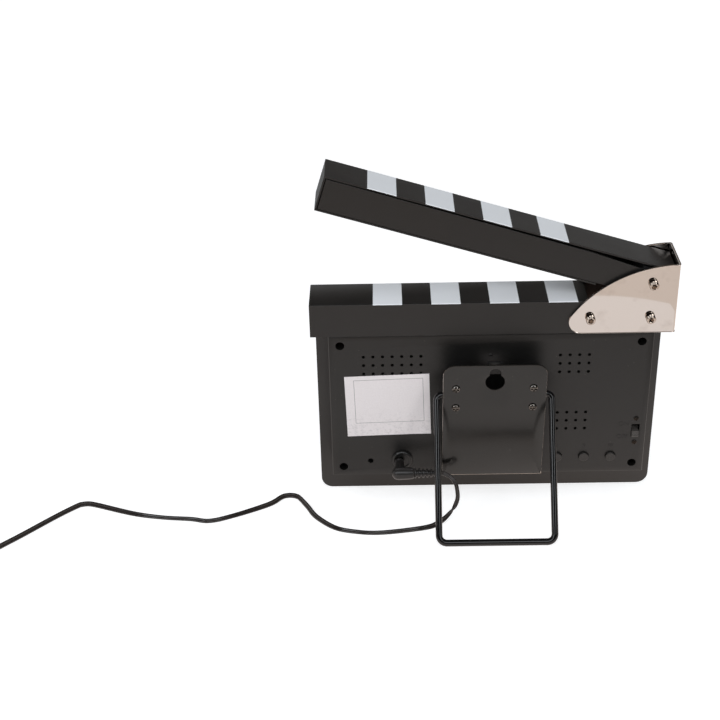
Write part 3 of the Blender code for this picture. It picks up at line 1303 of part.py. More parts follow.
def keyhole_outline():
    """A round hole with a narrower slot above it, about the plate's top middle."""
    half = KEYHOLE_SLOT_WIDTH / 2
    centre = -KEYHOLE_DROP
    open_angle = math.acos(half / KEYHOLE_RADIUS)
    points = arc((0, centre), KEYHOLE_RADIUS, math.pi - open_angle, math.tau + open_angle, 2 * ARC_STEPS)
    points += arc((0, -KEYHOLE_SLOT_DROP - half), half, 0, math.pi)
    return points


def plate_screw_places():
    """The centres of the plate's four screws, in the plate's frame."""
    rows = (-STAND_AXIS_DROP + PLATE_SCREW_PITCH / 2, -STAND_AXIS_DROP - PLATE_SCREW_PITCH / 2)
    return [(side * PLATE_SCREW_SPREAD / 2, row) for row in rows for side in (1, -1)]


def build_plate(plate):
    """The slanted plate with its keyhole, and its dome screws."""
    look = material("plate_black", (0.042, 0.039, 0.037), 0.45)
    screw_look = material("plate_screw_black", (0.05, 0.05, 0.05), 0.3, 1.0)
    half = PLATE_WIDTH / 2
    outline = rounded_box(-half, half, -PLATE_LENGTH, 0, (0, 0, PLATE_CORNER, PLATE_CORNER))
    made = add_object("mount_plate", prism_mesh(outline, -PLATE_SHEET, 0), plate, look=look)
    holes = prism_mesh(keyhole_outline(), -PLATE_SHEET - OVERRUN, OVERRUN)
    for place in plate_screw_places():
        rod_mesh(PLATE_SCREW_RADIUS + CLEAR, -PLATE_SHEET - OVERRUN, OVERRUN, centre=place, mesh=holes)
    combine(made, add_object("plate_holes", holes, plate), "DIFFERENCE")
    dome = []
    bulge = (DOME_HEAD_RADIUS ** 2 + DOME_HEAD_HEIGHT ** 2) / (2 * DOME_HEAD_HEIGHT)
    sweep = math.asin(DOME_HEAD_RADIUS / bulge)
    for step in range(BEND_STEPS):
        angle = sweep * (1 - step / BEND_STEPS)
        dome.append((bulge * math.sin(angle), CLEAR + DOME_HEAD_HEIGHT - bulge * (1 - math.cos(angle))))
    profile = [(0, CLEAR - PLATE_SCREW_LENGTH), (PLATE_SCREW_RADIUS, CLEAR - PLATE_SCREW_LENGTH)]
    profile += [(PLATE_SCREW_RADIUS, CLEAR)] + dome + [(0, CLEAR + DOME_HEAD_HEIGHT)]
    for number, (x, z) in enumerate(plate_screw_places(), start=1):
        mesh = turned_mesh(profile, SMALL_SIDES)
        name = f"plate_screw_{number}"
        screw = add_object(name, mesh, plate, (x, 0, z), look=screw_look, smooth=True)
        depth = DOME_HEAD_HEIGHT * CROSS_DEPTH_SHARE
        recess = cross_cutter(DOME_HEAD_RADIUS, CLEAR + DOME_HEAD_HEIGHT, depth)
        combine(screw, add_object(f"{name}_slot", recess, plate, (x, 0, z)), "DIFFERENCE")


def build_clamps(case, plate):
    """Two blocks between the box and the plate, each with a groove that grips the wire."""
    look = material("clamp_black", (0.03, 0.03, 0.03), 0.6)
    outer = PLATE_WIDTH / 2 - CLAMP_EDGE_INSET
    bottom = PANEL_Y + CLEAR
    ends = [
        plate_to_case(-PLATE_SHEET - CLEAR, -STAND_AXIS_DROP + level * CLAMP_HEIGHT / 2)
        for level in (-1, 1)
    ]
    outline = [(bottom, ends[0][1]), ends[0], ends[1], (bottom, ends[1][1])]
    groove = WIRE_RADIUS + CLEAR
    for number, side in enumerate((1, -1), start=1):
        x_range = sorted((side * outer, side * (outer - CLAMP_LENGTH)))
        place = (PLATE_CENTRE_X, 0, 0)
        mesh = prism_mesh(outline, x_range[0], x_range[1], "X")
        name = f"stand_clamp_{number}"
        clamp = add_object(name, mesh, case, place, look=look)
        past = (x_range[0] - OVERRUN, x_range[1] + OVERRUN)
        axis = (STAND_AXIS_PLATE_Y, -STAND_AXIS_DROP)
        round_cut = rod_mesh(groove, past[0], past[1], axis="X", centre=axis)
        combine(clamp, add_object(f"{name}_round", round_cut, plate), "DIFFERENCE")
        slot = box_mesh(past, (axis[0], OVERRUN), (axis[1] - groove, axis[1] + groove))
        combine(clamp, add_object(f"{name}_slot", slot, plate), "DIFFERENCE")
        bores = bmesh.new()
        for x, z in plate_screw_places():
            if x * side > 0:
                bore = PLATE_SCREW_RADIUS + CLEAR
                rod_mesh(bore, -PLATE_SCREW_LENGTH, OVERRUN, centre=(x, z), mesh=bores)
        combine(clamp, add_object(f"{name}_bores", bores, plate), "DIFFERENCE")


def wire_points():
    """The stand's centre line: two inward ends, two legs and a foot bar, hanging from its axis."""
    half = STAND_SPREAD / 2
    top = STAND_TOP_BEND
    foot = STAND_FOOT_BEND
    points = [(STAND_END_INSET, 0)]
    points += arc((half - top, -top), top, math.pi / 2, 0, BEND_STEPS)
    points += arc((half - foot, -STAND_LENGTH + foot), foot, 0, -math.pi / 2, BEND_STEPS)
    mirrored = [(-x, z) for x, z in reversed(points)]
    return [(x, 0, z) for x, z in points + mirrored]


def build_stand(case):
    """The wire stand, turned about its axis until its foot bar rests on the ground."""
    look = material("wire_black", (0.012, 0.012, 0.013), 0.2)
    place = (PLATE_CENTRE_X, STAND_AXIS_Y, STAND_AXIS_Z)
    turn = (STAND_ANGLE + LEAN, 0, 0)
    tube("stand_wire", wire_points(), WIRE_RADIUS, 4, look, case, place, turn)


def build_plug(case):
    """The elbow plug in the power socket, with its ribbed strain relief toward -X."""
    look = material("plug_black", (0.03, 0.03, 0.032), 0.4)
    relief_look = material("relief_black", (0.03, 0.03, 0.032), 0.45)
    left = PLUG_NOSE
    right = PLUG_NOSE - PLUG_BODY_LENGTH
    body_profile = [(0, right), (PLUG_TIP_RADIUS, right)]
    nose = arc((left - PLUG_BODY_RADIUS, 0), PLUG_BODY_RADIUS, math.pi / 2, 0, BEND_STEPS)
    body_profile += [(height, along) for along, height in nose[:-1]] + [(0, left)]
    place = (PLUG_X, PLUG_Y, JACK_Z)
    mesh = turned_mesh(body_profile, PLUG_SIDES, "X")
    plug = add_object("dc_plug", mesh, case, place, look=look, smooth=True)
    neck_start = -PLUG_REACH + CLEAR
    neck = turned_mesh(
        [(0, neck_start), (PLUG_NECK_RADIUS, neck_start), (PLUG_BODY_RADIUS - CLEAR, -PLUG_BODY_RADIUS / 2),
         (PLUG_BODY_RADIUS - CLEAR, 0), (0, 0)], SMALL_SIDES,
    )
    combine(plug, add_object("plug_neck", neck, case, place), "UNION")
    tip = -PLUG_REACH - JACK_BORE_DEPTH + 2 * CLEAR
    barrel = rod_mesh(PLUG_BARREL_RADIUS - CLEAR, tip, neck_start / 2, VENT_SIDES)
    combine(plug, add_object("plug_barrel", barrel, case, place), "UNION")
    bore = rod_mesh(PLUG_BARREL_BORE, tip - OVERRUN, -PLUG_REACH, VENT_SIDES)
    combine(plug, add_object("plug_barrel_bore", bore, case, place), "DIFFERENCE")
    start = -CLEAR
    end = start - RELIEF_LENGTH
    profile = [(0, start)]
    rib = RELIEF_LENGTH / (2 * RELIEF_RIBS - 1)
    for index in range(2 * RELIEF_RIBS - 1):
        share = index / (2 * RELIEF_RIBS - 2)
        radius = RELIEF_RADIUS + (RELIEF_END_RADIUS - RELIEF_RADIUS) * share
        if index % 2:
            radius -= RELIEF_GROOVE
        profile += [(radius, start - rib * index), (radius, start - rib * (index + 1))]
    profile.append((0, end))
    place = (PLUG_X + right, PLUG_Y, JACK_Z)
    mesh = turned_mesh(profile, SMALL_SIDES, "X")
    add_object("plug_relief", mesh, case, place, look=relief_look, smooth=True)


def coil_frame():
    """The coil's outer radius, its two layer heights and its number of turns."""
    turns = COIL_FULL_TURNS + COIL_ENTRY_ANGLE / math.tau
    outer = COIL_INNER_RADIUS + COIL_PITCH * turns / 2
    low = TIE_THICKNESS + CLEAR + LEAD_RADIUS
    return outer, low, low + COIL_PITCH, turns


def coil_points():
    """The loops: clockwise from above, in along the lower layer and out along the upper one."""
    outer, low, high, turns = coil_frame()
    count = round(turns * LOOP_POINTS)
    points = []
    for number in range(count + 1):
        turned = turns * number / count
        angle = COIL_ENTRY_ANGLE - math.tau * turned
        radius = COIL_INNER_RADIUS + COIL_PITCH * abs(turned - turns / 2)
        climb = min(max(2 * (turned - turns / 2) + 0.5, 0), 1)
        height = low + (high - low) * climb ** 2 * (3 - 2 * climb)
        x = COIL_CENTRE[0] + radius * math.cos(angle)
        y = COIL_CENTRE[1] + radius * math.sin(angle)
        points.append(Vector((x, y, height)))
    return points


def adapter_place():
    """The middle of the adapter's corded end, at the height of the cord."""
    outer = coil_frame()[0]
    return Vector((COIL_CENTRE[0] + outer, COIL_CENTRE[1] - ADAPTER_GAP, ADAPTER_HEIGHT / 2))


def self_gap(points, radius):
    """The least distance between two stretches of a tube that aren't neighbours along it."""
    least = math.inf
    skipped = LOOP_POINTS // 2
    for index, point in enumerate(points):
        for other in points[index + skipped:]:
            least = min(least, (other - point).length)
    return least - 2 * radius


def path_length(points):
    """The length along a list of points."""
    return sum((second - first).length for first, second in zip(points, points[1:]))


def build_lead():
    """The free stretch on the ground, the coil beyond the picture and the short end to the adapter."""
    look = material("lead_black", (0.03, 0.03, 0.032), 0.4)
    diameter = 2 * LEAD_RADIUS
    start = case_to_world(LEAD_START_X, PLUG_Y, JACK_Z)
    square = case_to_world(LEAD_START_X - diameter, PLUG_Y, JACK_Z)
    loops = coil_points()
    inward = (loops[1] - loops[0]).normalized()
    entry = loops[0] - inward * diameter
    free_end = entry - inward * CLEAR
    route = [start, square] + [Vector((LEAD_START_X + x, y, z)) for x, y, z in LEAD_ROUTE]
    route += [free_end - inward * diameter, free_end]
    points = smooth_points(route, LEAD_STEP)
    tube("lead_free", points, LEAD_RADIUS, 2, look)
    outward = (loops[-1] - loops[-2]).normalized()
    target = adapter_place() + Vector((0, ADAPTER_COLLAR_LENGTH + CLEAR, 0))
    tail = [loops[-1], loops[-1] + outward * diameter, target + Vector((0, diameter, 0)), target]
    tail_points = smooth_points(tail, LEAD_STEP)
    whole = [entry] + loops + tail_points[1:]
    coil_look = material("coil_black", (0.03, 0.03, 0.032), 0.4)
    tube("lead_coil", whole, LEAD_RADIUS, 1, coil_look)
    print("coil self gap", round(self_gap(whole, LEAD_RADIUS), 6))
    print("lead length", round(path_length(points) + path_length(whole), 4))


def build_tie():
    """The strap round one side of the coil."""
    look = material("tie_black", (0.02, 0.02, 0.02), 0.6)
    outer, low, high = coil_frame()[:3]
    margin = LEAD_RADIUS + CLEAR
    near = COIL_INNER_RADIUS - margin
    far = outer + margin
    bottom = low - margin
    top = high + margin
    half = TIE_WIDTH / 2
    place = (COIL_CENTRE[0], COIL_CENTRE[1], 0)
    wall = TIE_THICKNESS
    mesh = box_mesh((-half, half), (near - wall, far + wall), (bottom - wall, top + wall))
    tie = add_object("lead_tie", mesh, None, place, look=look)
    hollow = box_mesh((-half - OVERRUN, half + OVERRUN), (near, far), (bottom, top))
    combine(tie, add_object("tie_hollow", hollow, None, place), "DIFFERENCE")


def build_adapter():
    """The plug-top adapter, lying on its back with its two flat pins up."""
    look = material("adapter_black", (0.03, 0.03, 0.03), 0.45)
    pin_look = material("pin_brass", (0.62, 0.52, 0.30), 0.3, 1.0)
    end = adapter_place()
    half = ADAPTER_WIDTH / 2
    mesh = box_mesh((-half, half), (-ADAPTER_LENGTH, 0), (-ADAPTER_HEIGHT / 2, ADAPTER_HEIGHT / 2))
    bevel_edges(mesh, ADAPTER_EDGE, lambda middle, edge: middle.z > -ADAPTER_HEIGHT / 4)
    adapter = add_object("mains_adapter", mesh, None, end, look=look)
    collar = rod_mesh(ADAPTER_COLLAR_RADIUS, -OVERRUN, ADAPTER_COLLAR_LENGTH)
    combine(adapter, add_object("adapter_collar", collar, None, end), "UNION")
    for number, side in enumerate((1, -1), start=1):
        x = end.x + side * PIN_PITCH / 2
        y = end.y - ADAPTER_LENGTH + PIN_END_DROP
        outline = rounded_box(
            -PIN_WIDTH / 2, PIN_WIDTH / 2, CLEAR, PIN_LENGTH, (0, 0, PIN_THICKNESS, PIN_THICKNESS)
        )
        pin = prism_mesh(outline, -PIN_THICKNESS / 2, PIN_THICKNESS / 2, "X")
        add_object(f"adapter_pin_{number}", pin, None, (x, y, ADAPTER_HEIGHT), look=pin_look)


def build():
    """Every piece of the clock, on its frames."""
    clear_scene()
    case = frame("case_frame", (0, CASE_SHIFT, 0), (-LEAN, 0, 0))
    pivot = frame("pivot_frame", (PIVOT_X, 0, PIVOT_Z), (0, -OPEN_ANGLE, 0), case)
    plate = frame("plate_frame", (PLATE_CENTRE_X, PLATE_OUTER_Y, PLATE_TOP_Z), (-PLATE_SLANT, 0, 0), case)
    build_board(case)
    build_window(case)
    build_display(case)
    build_cover(case)
    build_cover_screws(case)
    build_buzzer(case)
    build_jack(case)
    build_side_socket(case)
    build_buttons(case)
    build_button_board(case)
    build_switch(case)
    build_label(case)
    build_lower_stick(case)
    build_hinge_block(case)
    build_bracket(case)
    build_bolts(case)
    build_clapper(pivot)
    build_closing_sensor(case, pivot)
    build_plate(plate)
    build_clamps(case, plate)
    build_stand(case)
    build_plug(case)
    build_lead()
    build_tie()
    build_adapter()


build()
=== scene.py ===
"""The dressed look of a mains alarm clock shaped like a film slate, seen from behind.

Everything is in metres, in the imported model's own frame: +Z up, the display faces -Y.
"""

import contextlib
import math

import bmesh
import bpy
import numpy as np
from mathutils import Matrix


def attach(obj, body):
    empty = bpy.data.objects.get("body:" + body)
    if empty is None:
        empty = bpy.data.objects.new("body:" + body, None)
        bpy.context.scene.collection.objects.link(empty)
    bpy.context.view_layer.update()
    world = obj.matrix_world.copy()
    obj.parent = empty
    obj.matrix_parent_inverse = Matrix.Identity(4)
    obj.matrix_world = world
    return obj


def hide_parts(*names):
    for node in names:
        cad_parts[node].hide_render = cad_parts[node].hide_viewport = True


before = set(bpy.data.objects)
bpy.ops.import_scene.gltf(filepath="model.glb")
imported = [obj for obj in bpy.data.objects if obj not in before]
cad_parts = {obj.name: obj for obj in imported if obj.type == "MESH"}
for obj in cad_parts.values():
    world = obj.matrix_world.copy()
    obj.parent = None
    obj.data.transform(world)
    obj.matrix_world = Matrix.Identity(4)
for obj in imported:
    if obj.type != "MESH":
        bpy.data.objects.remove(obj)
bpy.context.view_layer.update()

MM = 0.001

# The case frame: x as in the world, y out of the back, z up the leaning board
LEAN = math.radians(8.6)
CASE_SHIFT = -0.037475
PANEL_Y = 19.0 * MM
STICK_TOP_Z = 140.0 * MM
STICK_LEFT_X = 105.0 * MM
BOARD_THICKNESS = 6.5 * MM
LIT_DEPTH = -3.7 * MM

# The moving stick's frame: x from the pivot to its free end
PIVOT = (-90.2 * MM, 0.0, 150.75 * MM)
OPEN_ANGLE = math.radians(17.27)
CLAPPER_REACH = 195.5 * MM
CLAPPER_HALF_HEIGHT = 10.5 * MM
CLAPPER_FRONT = -5.7 * MM
BOW_START, BOW_END, BOW_DROP, BOW_ABOVE = 40 * MM, 12 * MM, 1.5 * MM, 6 * MM

# The film stripes, from a stick's free end
STRIPE_PITCH = 33.4 * MM
STRIPE_WIDTH = 16.7 * MM
STRIPE_COUNT = 4
STRIPE_SLOPE = 12.3 / 21.0
STICK_FIRST_STRIPE = 36.7 * MM
CLAPPER_FIRST_STRIPE = 24.4 * MM
FILM_OVER, FILM_ROUND, SLANT_FROM = 0.42 * MM, 0.25 * MM, 0.5 * MM

# The slanted plate's frame: z up the plate from its upper edge, y out of its face
PLATE_FRAME = (-1.35 * MM, 36.5 * MM, 108.0 * MM)
PLATE_SLANT = math.radians(5.65)
PLATE_HALF, PLATE_HEIGHT, PLATE_SHEET, PLATE_EDGE = 30.0 * MM, 81.2 * MM, 1.2 * MM, 0.5 * MM
PLATE_CORNER = 7 * MM
KEYHOLE_DROP, KEYHOLE_RADIUS = 11.9 * MM, 5.5 * MM
SLOT_DROP, SLOT_HALF = 2.6 * MM, 3.15 * MM
PLATE_SCREW_X, PLATE_SCREW_ROWS = 22.4 * MM, (-16.4 * MM, -30.1 * MM)

# The label and the frame printed on it
LABEL_TURN = math.radians(1.6)
LABEL_MIDDLE = (60.5 * MM, PANEL_Y, 71.6 * MM)
LABEL_HALF_WIDTH, LABEL_HALF_HEIGHT = 25.05 * MM, 20.8 * MM
PRINT_MIDDLE = (59.8 * MM, 0, 74.75 * MM)
PRINT_HALF_WIDTH, PRINT_HALF_HEIGHT, PRINT_LINE = 20.4 * MM, 14.8 * MM, 0.13 * MM

# The hinge bracket
BRACKET_RIGHT_X = -105.0 * MM
BRACKET_SHEET = 1.2 * MM
BRACKET_REAR_Y = 22.0 * MM
BRACKET_FRONT_Y = -8.0 * MM
BRACKET_TOP_Z = 162.8 * MM
BRACKET_BOTTOM_Z = 119.7 * MM
BRACKET_ARC = 73.0 * MM
BRACKET_NOSE = 7.5 * MM
BRACKET_BEND = 1.4 * MM
BRACKET_EDGE = 0.3 * MM
BRACKET_COLUMNS = 40

# Screws, in the case frame
SCREW_SEAT = 0.3 * MM
FIXED_SCREWS = ((-55.8 * MM, 129.55 * MM), (-90.1 * MM, 129.55 * MM))
PIVOT_SHANK = 32.9 * MM
SWITCH_SCREW_X, SWITCH_SCREW_HEIGHTS = -87.7 * MM, (59.7 * MM, 42.9 * MM)

# Buttons and marks on the panel, in the case frame and in millimetres
BUTTONS = (("set_button", -41.5), ("up_button", -57.65), ("out_button", -73.8))
BUTTON_HEIGHT = 33.3
MARK_PITCH, MARK_HALF, MARK_LOW, MARK_HIGH = 1.1, 0.3, 39.9, 42.1
SWITCH_WORDS = (("switch_on_word", "ON", -80.6, 56.0), ("switch_off_word", "OFF", -80.2, 47.0))
WORD_SIZE = 4.2
GATE_RING_PLACE = (0.3 * MM, PANEL_Y, 104.6 * MM)

# The wire stand
STAND_AXIS = (-1.35 * MM, 30.728 * MM, 85.208 * MM)
STAND_TURN = math.radians(25.025) + LEAN
STAND_HALF = 33.5 * MM
STAND_LENGTH = 85.7 * MM
STAND_END = 17.5 * MM
STAND_TOP_BEND, STAND_FOOT_BEND = 3.2 * MM, 4.5 * MM
WIRE_RADIUS = 2.0 * MM

# The plug, its socket and the lead
PLUG_PLACE = (53.9 * MM, 34.3 * MM, 32.9 * MM)
RELIEF_START, RELIEF_LENGTH, RELIEF_RIBS = 8.5 * MM, 13.1 * MM, 6
JACK_PLACE = (52.3 * MM, 0.0, 32.9 * MM)
JACK_BORE_OFFSET = 1.6 * MM
LEAD_WIDTH = 3.2 * MM
LEAD_STEP = 1.6 * MM
LEAD_START = 21.9 * MM
ROUTE = (
    (-0.0052, 0.0022, 0.0273), (-0.0084, 0.0038, 0.0261), (-0.0106, 0.0056, 0.0236),
    (-0.0118, 0.0068, 0.0203), (-0.0121, 0.0078, 0.0125), (-0.0080, 0.0092, 0.0046),
    (-0.0014, 0.0153, 0.0017), (0.0052, 0.0203, 0.0017), (0.0195, 0.0242, 0.0017),
    (0.0354, 0.0265, 0.0017), (0.0480, 0.0250, 0.0017), (0.0609, 0.0197, 0.0017),
    (0.0726, 0.0057, 0.0017), (0.0788, -0.0080, 0.0017), (0.0840, -0.0187, 0.0017),
    (0.0866, -0.0217, 0.0017), (0.0903, -0.0228, 0.0017), (0.0933, -0.0221, 0.0017),
    (0.0957, -0.0202, 0.0017), (0.1034, -0.0107, 0.0017), (0.1255, 0.0038, 0.0017),
    (0.1378, 0.0088, 0.0017), (0.1485, 0.0060, 0.0017), (0.1663, 0.0033, 0.0017),
    (0.1846, -0.0018, 0.0017), (0.2077, -0.0126, 0.0017), (0.2125, -0.0146, 0.0017),
    (0.2154, -0.0152, 0.0017), (0.2189, -0.0143, 0.0017), (0.2214, -0.0122, 0.0017),
    (0.2310, 0.0006, 0.0017), (0.2470, 0.0244, 0.0018), (0.2567, 0.0381, 0.0024),
)
ROUTE_PARTS = 12
GROUND_FROM, GROUND_TO, GROUND_GAP = 45 * MM, 400 * MM, 0.18 * MM

# How far the lead is turned about its own line: millimetres along it, and degrees
TWIST_STATIONS = (0, 30, 55, 90, 130, 160, 200, 250, 285, 320, 360, 420, 470, 520, 1600)
TWIST_ANGLES = (60, 45, 30, 15, 30, 70, 30, 15, 45, 75, 70, 60, 40, 0, 0)

# The coil, which winds in below and out above, and the adapter
COIL_CENTRE = (319.0 * MM, 35.3 * MM)
COIL_INNER = 9.5 * MM
COIL_PITCH = 3.7 * MM
COIL_ENTRY = math.radians(144.7)
COIL_TURNS = 9 + COIL_ENTRY / math.tau
COIL_COLUMNS = 36
COIL_OUTER = COIL_INNER + COIL_PITCH * COIL_TURNS / 2
ADAPTER_END = (COIL_CENTRE[0] + COIL_OUTER, COIL_CENTRE[1] - 40.0 * MM, 13.0 * MM)
TIE_WALL, TIE_HALF_WIDTH, TIE_CORNER = 0.6 * MM, 3.0 * MM, 1.2 * MM
LAYER_LOW = TIE_WALL + 0.2 * MM + LEAD_WIDTH / 4
LAYER_HIGH = LAYER_LOW + LEAD_WIDTH / 2 + 0.2 * MM

# The camera that took the photograph
CAMERA_PLACE = (0.062198, 0.759119, 0.395603)
CAMERA_FORWARD = (0.01745241, -0.93180266, -0.36254547)
CAMERA_RIGHT = (-0.99972159, -0.01050386, -0.02112844)
CAMERA_LENS = 70.0
SENSOR_WIDTH = 36.0

# The table's front edge, as reflections show it, with a round corner beyond CORNER_X
TABLE_HALF = 3.0
EDGE_Y, CORNER_X, CORNER_CURVE, FAR_SIDE_Y = 0.197, -0.095, 4.3, -0.25

# What a reflection sees of the table, before and past its edge, and what the camera sees
NEAR_GLOW, PAST_GLOW = (0.50, 0.42, 0.37, 1.0), (0.35, 0.235, 0.15, 1.0)
CAMERA_GLOW, NO_GLOW = (0.72, 0.72, 0.72, 1.0), (0.0, 0.0, 0.0, 1.0)

# The world's light: an axis toward its brightest side, behind the camera, and its two ends
WORLD_AXIS = (0.0, 0.99, 0.14)
WORLD_DIMMEST, WORLD_BRIGHTEST = 0.05, 0.86
WORLD_TINT = (0.93, 0.96, 1.0, 1.0)

# Dark cards: name, radius, azimuths, heights in degrees, and how bright each is in gloss
FLAGS = (
    ("rear_flag", 1.9, (-82, 82), (3, 48), 0.02),
    ("upper_flag", 1.9, (-180, 180), (48, 90), 0.09),
    ("backdrop_top", 1.9, (82, 278), (21, 48), 0.18),
    ("table_flag", 0.45, (-70, 70), (0, 16), 0.02),
)
FLAG_TINT = (1.0, 0.92, 0.86, 1.0)

# Soft boxes: name, place, target, width, height, watts, tint, and how much their gloss counts
LAMPS = (
    ("left_box", (0.92, 0.95, 0.66), (0.0, 0.0, 0.08), 0.5, 1.0, 6.0, (0.93, 0.96, 1.0), 1.0),
    ("right_box", (-0.66, 1.15, 0.66), (0.0, 0.0, 0.08), 0.34, 1.0, 4.0, (0.96, 0.98, 1.0), 1.0),
    ("overhead_fill", (0.06, 0.96, 0.88), (0.0, 0.0, 0.1), 0.6, 0.4, 2.6, (0.93, 0.96, 1.0), 0.0),
)


def turn(points, angle, axis):
    """Turns points about one world axis by an angle, by the right-hand rule."""
    cos, sin = math.cos(angle), math.sin(angle)
    first, second = [(1, 2), (2, 0), (0, 1)][axis]
    turned = np.array(points, float)
    turned[..., first] = points[..., first] * cos - points[..., second] * sin
    turned[..., second] = points[..., first] * sin + points[..., second] * cos
    return turned


def from_case(points):
    """World places of points of the case frame: turned back by the lean, then shifted."""
    return turn(np.asarray(points, float), -LEAN, 0) + (0.0, CASE_SHIFT, 0.0)


def from_clapper(points):
    """World places of points of the moving stick's frame, whose x runs to its free end."""
    return from_case(turn(np.asarray(points, float), -OPEN_ANGLE, 1) + PIVOT)


def from_plate(points):
    """World places of points of the slanted plate's frame, whose z runs up the plate."""
    return from_case(turn(np.asarray(points, float), -PLATE_SLANT, 0) + PLATE_FRAME)


def linear(hex_colour):
    """A Principled colour from an sRGB hex value."""
    values = [int(hex_colour[index:index + 2], 16) / 255 for index in (1, 3, 5)]
    turned = [v / 12.92 if v <= 0.04045 else ((v + 0.055) / 1.055) ** 2.4 for v in values]
    return (*turned, 1.0)


def node(tree, kind, inputs=None, **settings):
    """Adds a node: settings are its own properties, inputs its values or the sockets that feed them."""
    made = tree.nodes.new("ShaderNode" + kind)
    for name, value in settings.items():
        setattr(made, name, value)
    for name, value in (inputs or {}).items():
        if isinstance(value, bpy.types.NodeSocket):
            tree.links.new(value, made.inputs[name])
        else:
            made.inputs[name].default_value = value
    return made


def chain(tree, kind, rows, **known):
    """Adds a row of nodes of one kind, each given as its name, its operation and its values.

    A value is a number or a socket, or the name of an earlier row or of a known socket. The
    result gives each row's output by name.
    """
    for name, operation, *values in rows:
        inputs = {place: known[value] if isinstance(value, str) else value
                  for place, value in enumerate(values)}
        known[name] = node(tree, kind, inputs, operation=operation).outputs[0]
    return known


def finish(name, colour, roughness, metallic=0.0, **sockets):
    """A new material: its tree, its Principled shader and the object's coordinates."""
    made = bpy.data.materials.new(name)
    made.use_nodes = True
    tree = made.node_tree
    shader = tree.nodes["Principled BSDF"]
    shader.inputs["Base Color"].default_value = linear(colour)
    shader.inputs["Roughness"].default_value = roughness
    shader.inputs["Metallic"].default_value = metallic
    for socket, value in sockets.items():
        shader.inputs[socket.replace("_", " ")].default_value = value
    place = node(tree, "TexCoord").outputs["Object"]
    return made, tree, shader, place


def grain(tree, shader, place, size, height):
    """A fine random relief: size is the width of one bump in metres, height its rise."""
    noise = node(tree, "TexNoise", {"Vector": place, "Scale": 1 / size, "Detail": 2.0})
    relief(tree, shader, noise.outputs["Fac"], height)


def relief(tree, shader, pattern, height):
    """Raises the surface by a pattern's values times a height in metres."""
    bump = node(tree, "Bump", {"Height": pattern, "Distance": height})
    tree.links.new(bump.outputs["Normal"], shader.inputs["Normal"])


def coloured(tree, shader, share, first, second):
    """Gives the shader a blend of two colours by a share, and returns the blend."""
    inputs = {0: share, 6: first, 7: second}
    blend = node(tree, "Mix", inputs, data_type="RGBA").outputs[2]
    tree.links.new(blend, shader.inputs["Base Color"])
    return blend


def mottle(tree, shader, place, size, colours, roughness):
    """Slow changes of colour and roughness over a surface, as handling and moulding leave them."""
    noise = node(tree, "TexNoise", {"Vector": place, "Scale": 1 / size, "Detail": 4.0})
    span = {"Value": noise.outputs["Fac"], "From Min": 0.3, "From Max": 0.7}
    share = node(tree, "MapRange", span).outputs[0]
    rough = node(tree, "MapRange", {**span, "To Min": roughness[0], "To Max": roughness[1]})
    tree.links.new(rough.outputs[0], shader.inputs["Roughness"])
    return coloured(tree, shader, share, linear(colours[0]), linear(colours[1]))


def specks(tree, shader, place, base, colour, pitch, share):
    """Dust: sparse pale points, one or none in each cell of a given pitch.

    A point is what lies within 0.06 of a cell's middle, in a share of the cells, and it hides
    0.4 of the colour under it.
    """
    cells = node(tree, "TexVoronoi", {"Vector": place, "Scale": 1 / pitch})
    chosen = node(tree, "SeparateColor", {0: cells.outputs["Color"]}).outputs[0]
    weight = chain(tree, "Math", (
        ("dot", "LESS_THAN", cells.outputs["Distance"], 0.06),
        ("few", "LESS_THAN", chosen, share),
        ("both", "MULTIPLY", "dot", "few"),
        ("weight", "MULTIPLY", "both", 0.4),
    ))["weight"]
    return coloured(tree, shader, weight, base, linear(colour))


def case_place(tree, place):
    """Object coordinates turned into the case frame."""
    start = (0.0, -CASE_SHIFT * math.cos(LEAN), -CASE_SHIFT * math.sin(LEAN))
    inputs = {"Vector": place, "Location": start, "Rotation": (LEAN, 0, 0)}
    return node(tree, "Mapping", inputs).outputs[0]


def clapper_place(tree, place):
    """Object coordinates turned into the moving stick's frame."""
    pivot = tuple(turn(-np.array(PIVOT), OPEN_ANGLE, 1))
    inputs = {"Vector": case_place(tree, place), "Location": pivot, "Rotation": (0, OPEN_ANGLE, 0)}
    return node(tree, "Mapping", inputs).outputs[0]


def plate_place(tree, place):
    """Object coordinates turned into the slanted plate's frame."""
    middle = tuple(turn(-np.array(PLATE_FRAME), PLATE_SLANT, 0))
    inputs = {"Vector": case_place(tree, place), "Location": middle, "Rotation": (PLATE_SLANT, 0, 0)}
    return node(tree, "Mapping", inputs).outputs[0]


def moulded_abs():
    """Spark-textured black ABS: near black, with a 0.4 mm grain that spreads its sheen."""
    made, tree, shader, place = finish("moulded_abs", "#0D0C0B", 0.4, Specular_IOR_Level=0.5)
    grain(tree, shader, place, 0.4 * MM, 0.010 * MM)
    base = mottle(tree, shader, place, 18 * MM, ("#0C0B0A", "#100F0E"), (0.36, 0.42))
    specks(tree, shader, place, base, "#6A6560", 3.5 * MM, 0.2)
    return made


def slate_paint():
    """Satin black paint on the board: even, a little paler than the moulded case."""
    made, tree, shader, place = finish("slate_paint", "#161514", 0.42, Specular_IOR_Level=0.6)
    grain(tree, shader, place, 0.6 * MM, 0.012 * MM)
    mottle(tree, shader, place, 25 * MM, ("#151413", "#191716"), (0.36, 0.44))
    return made


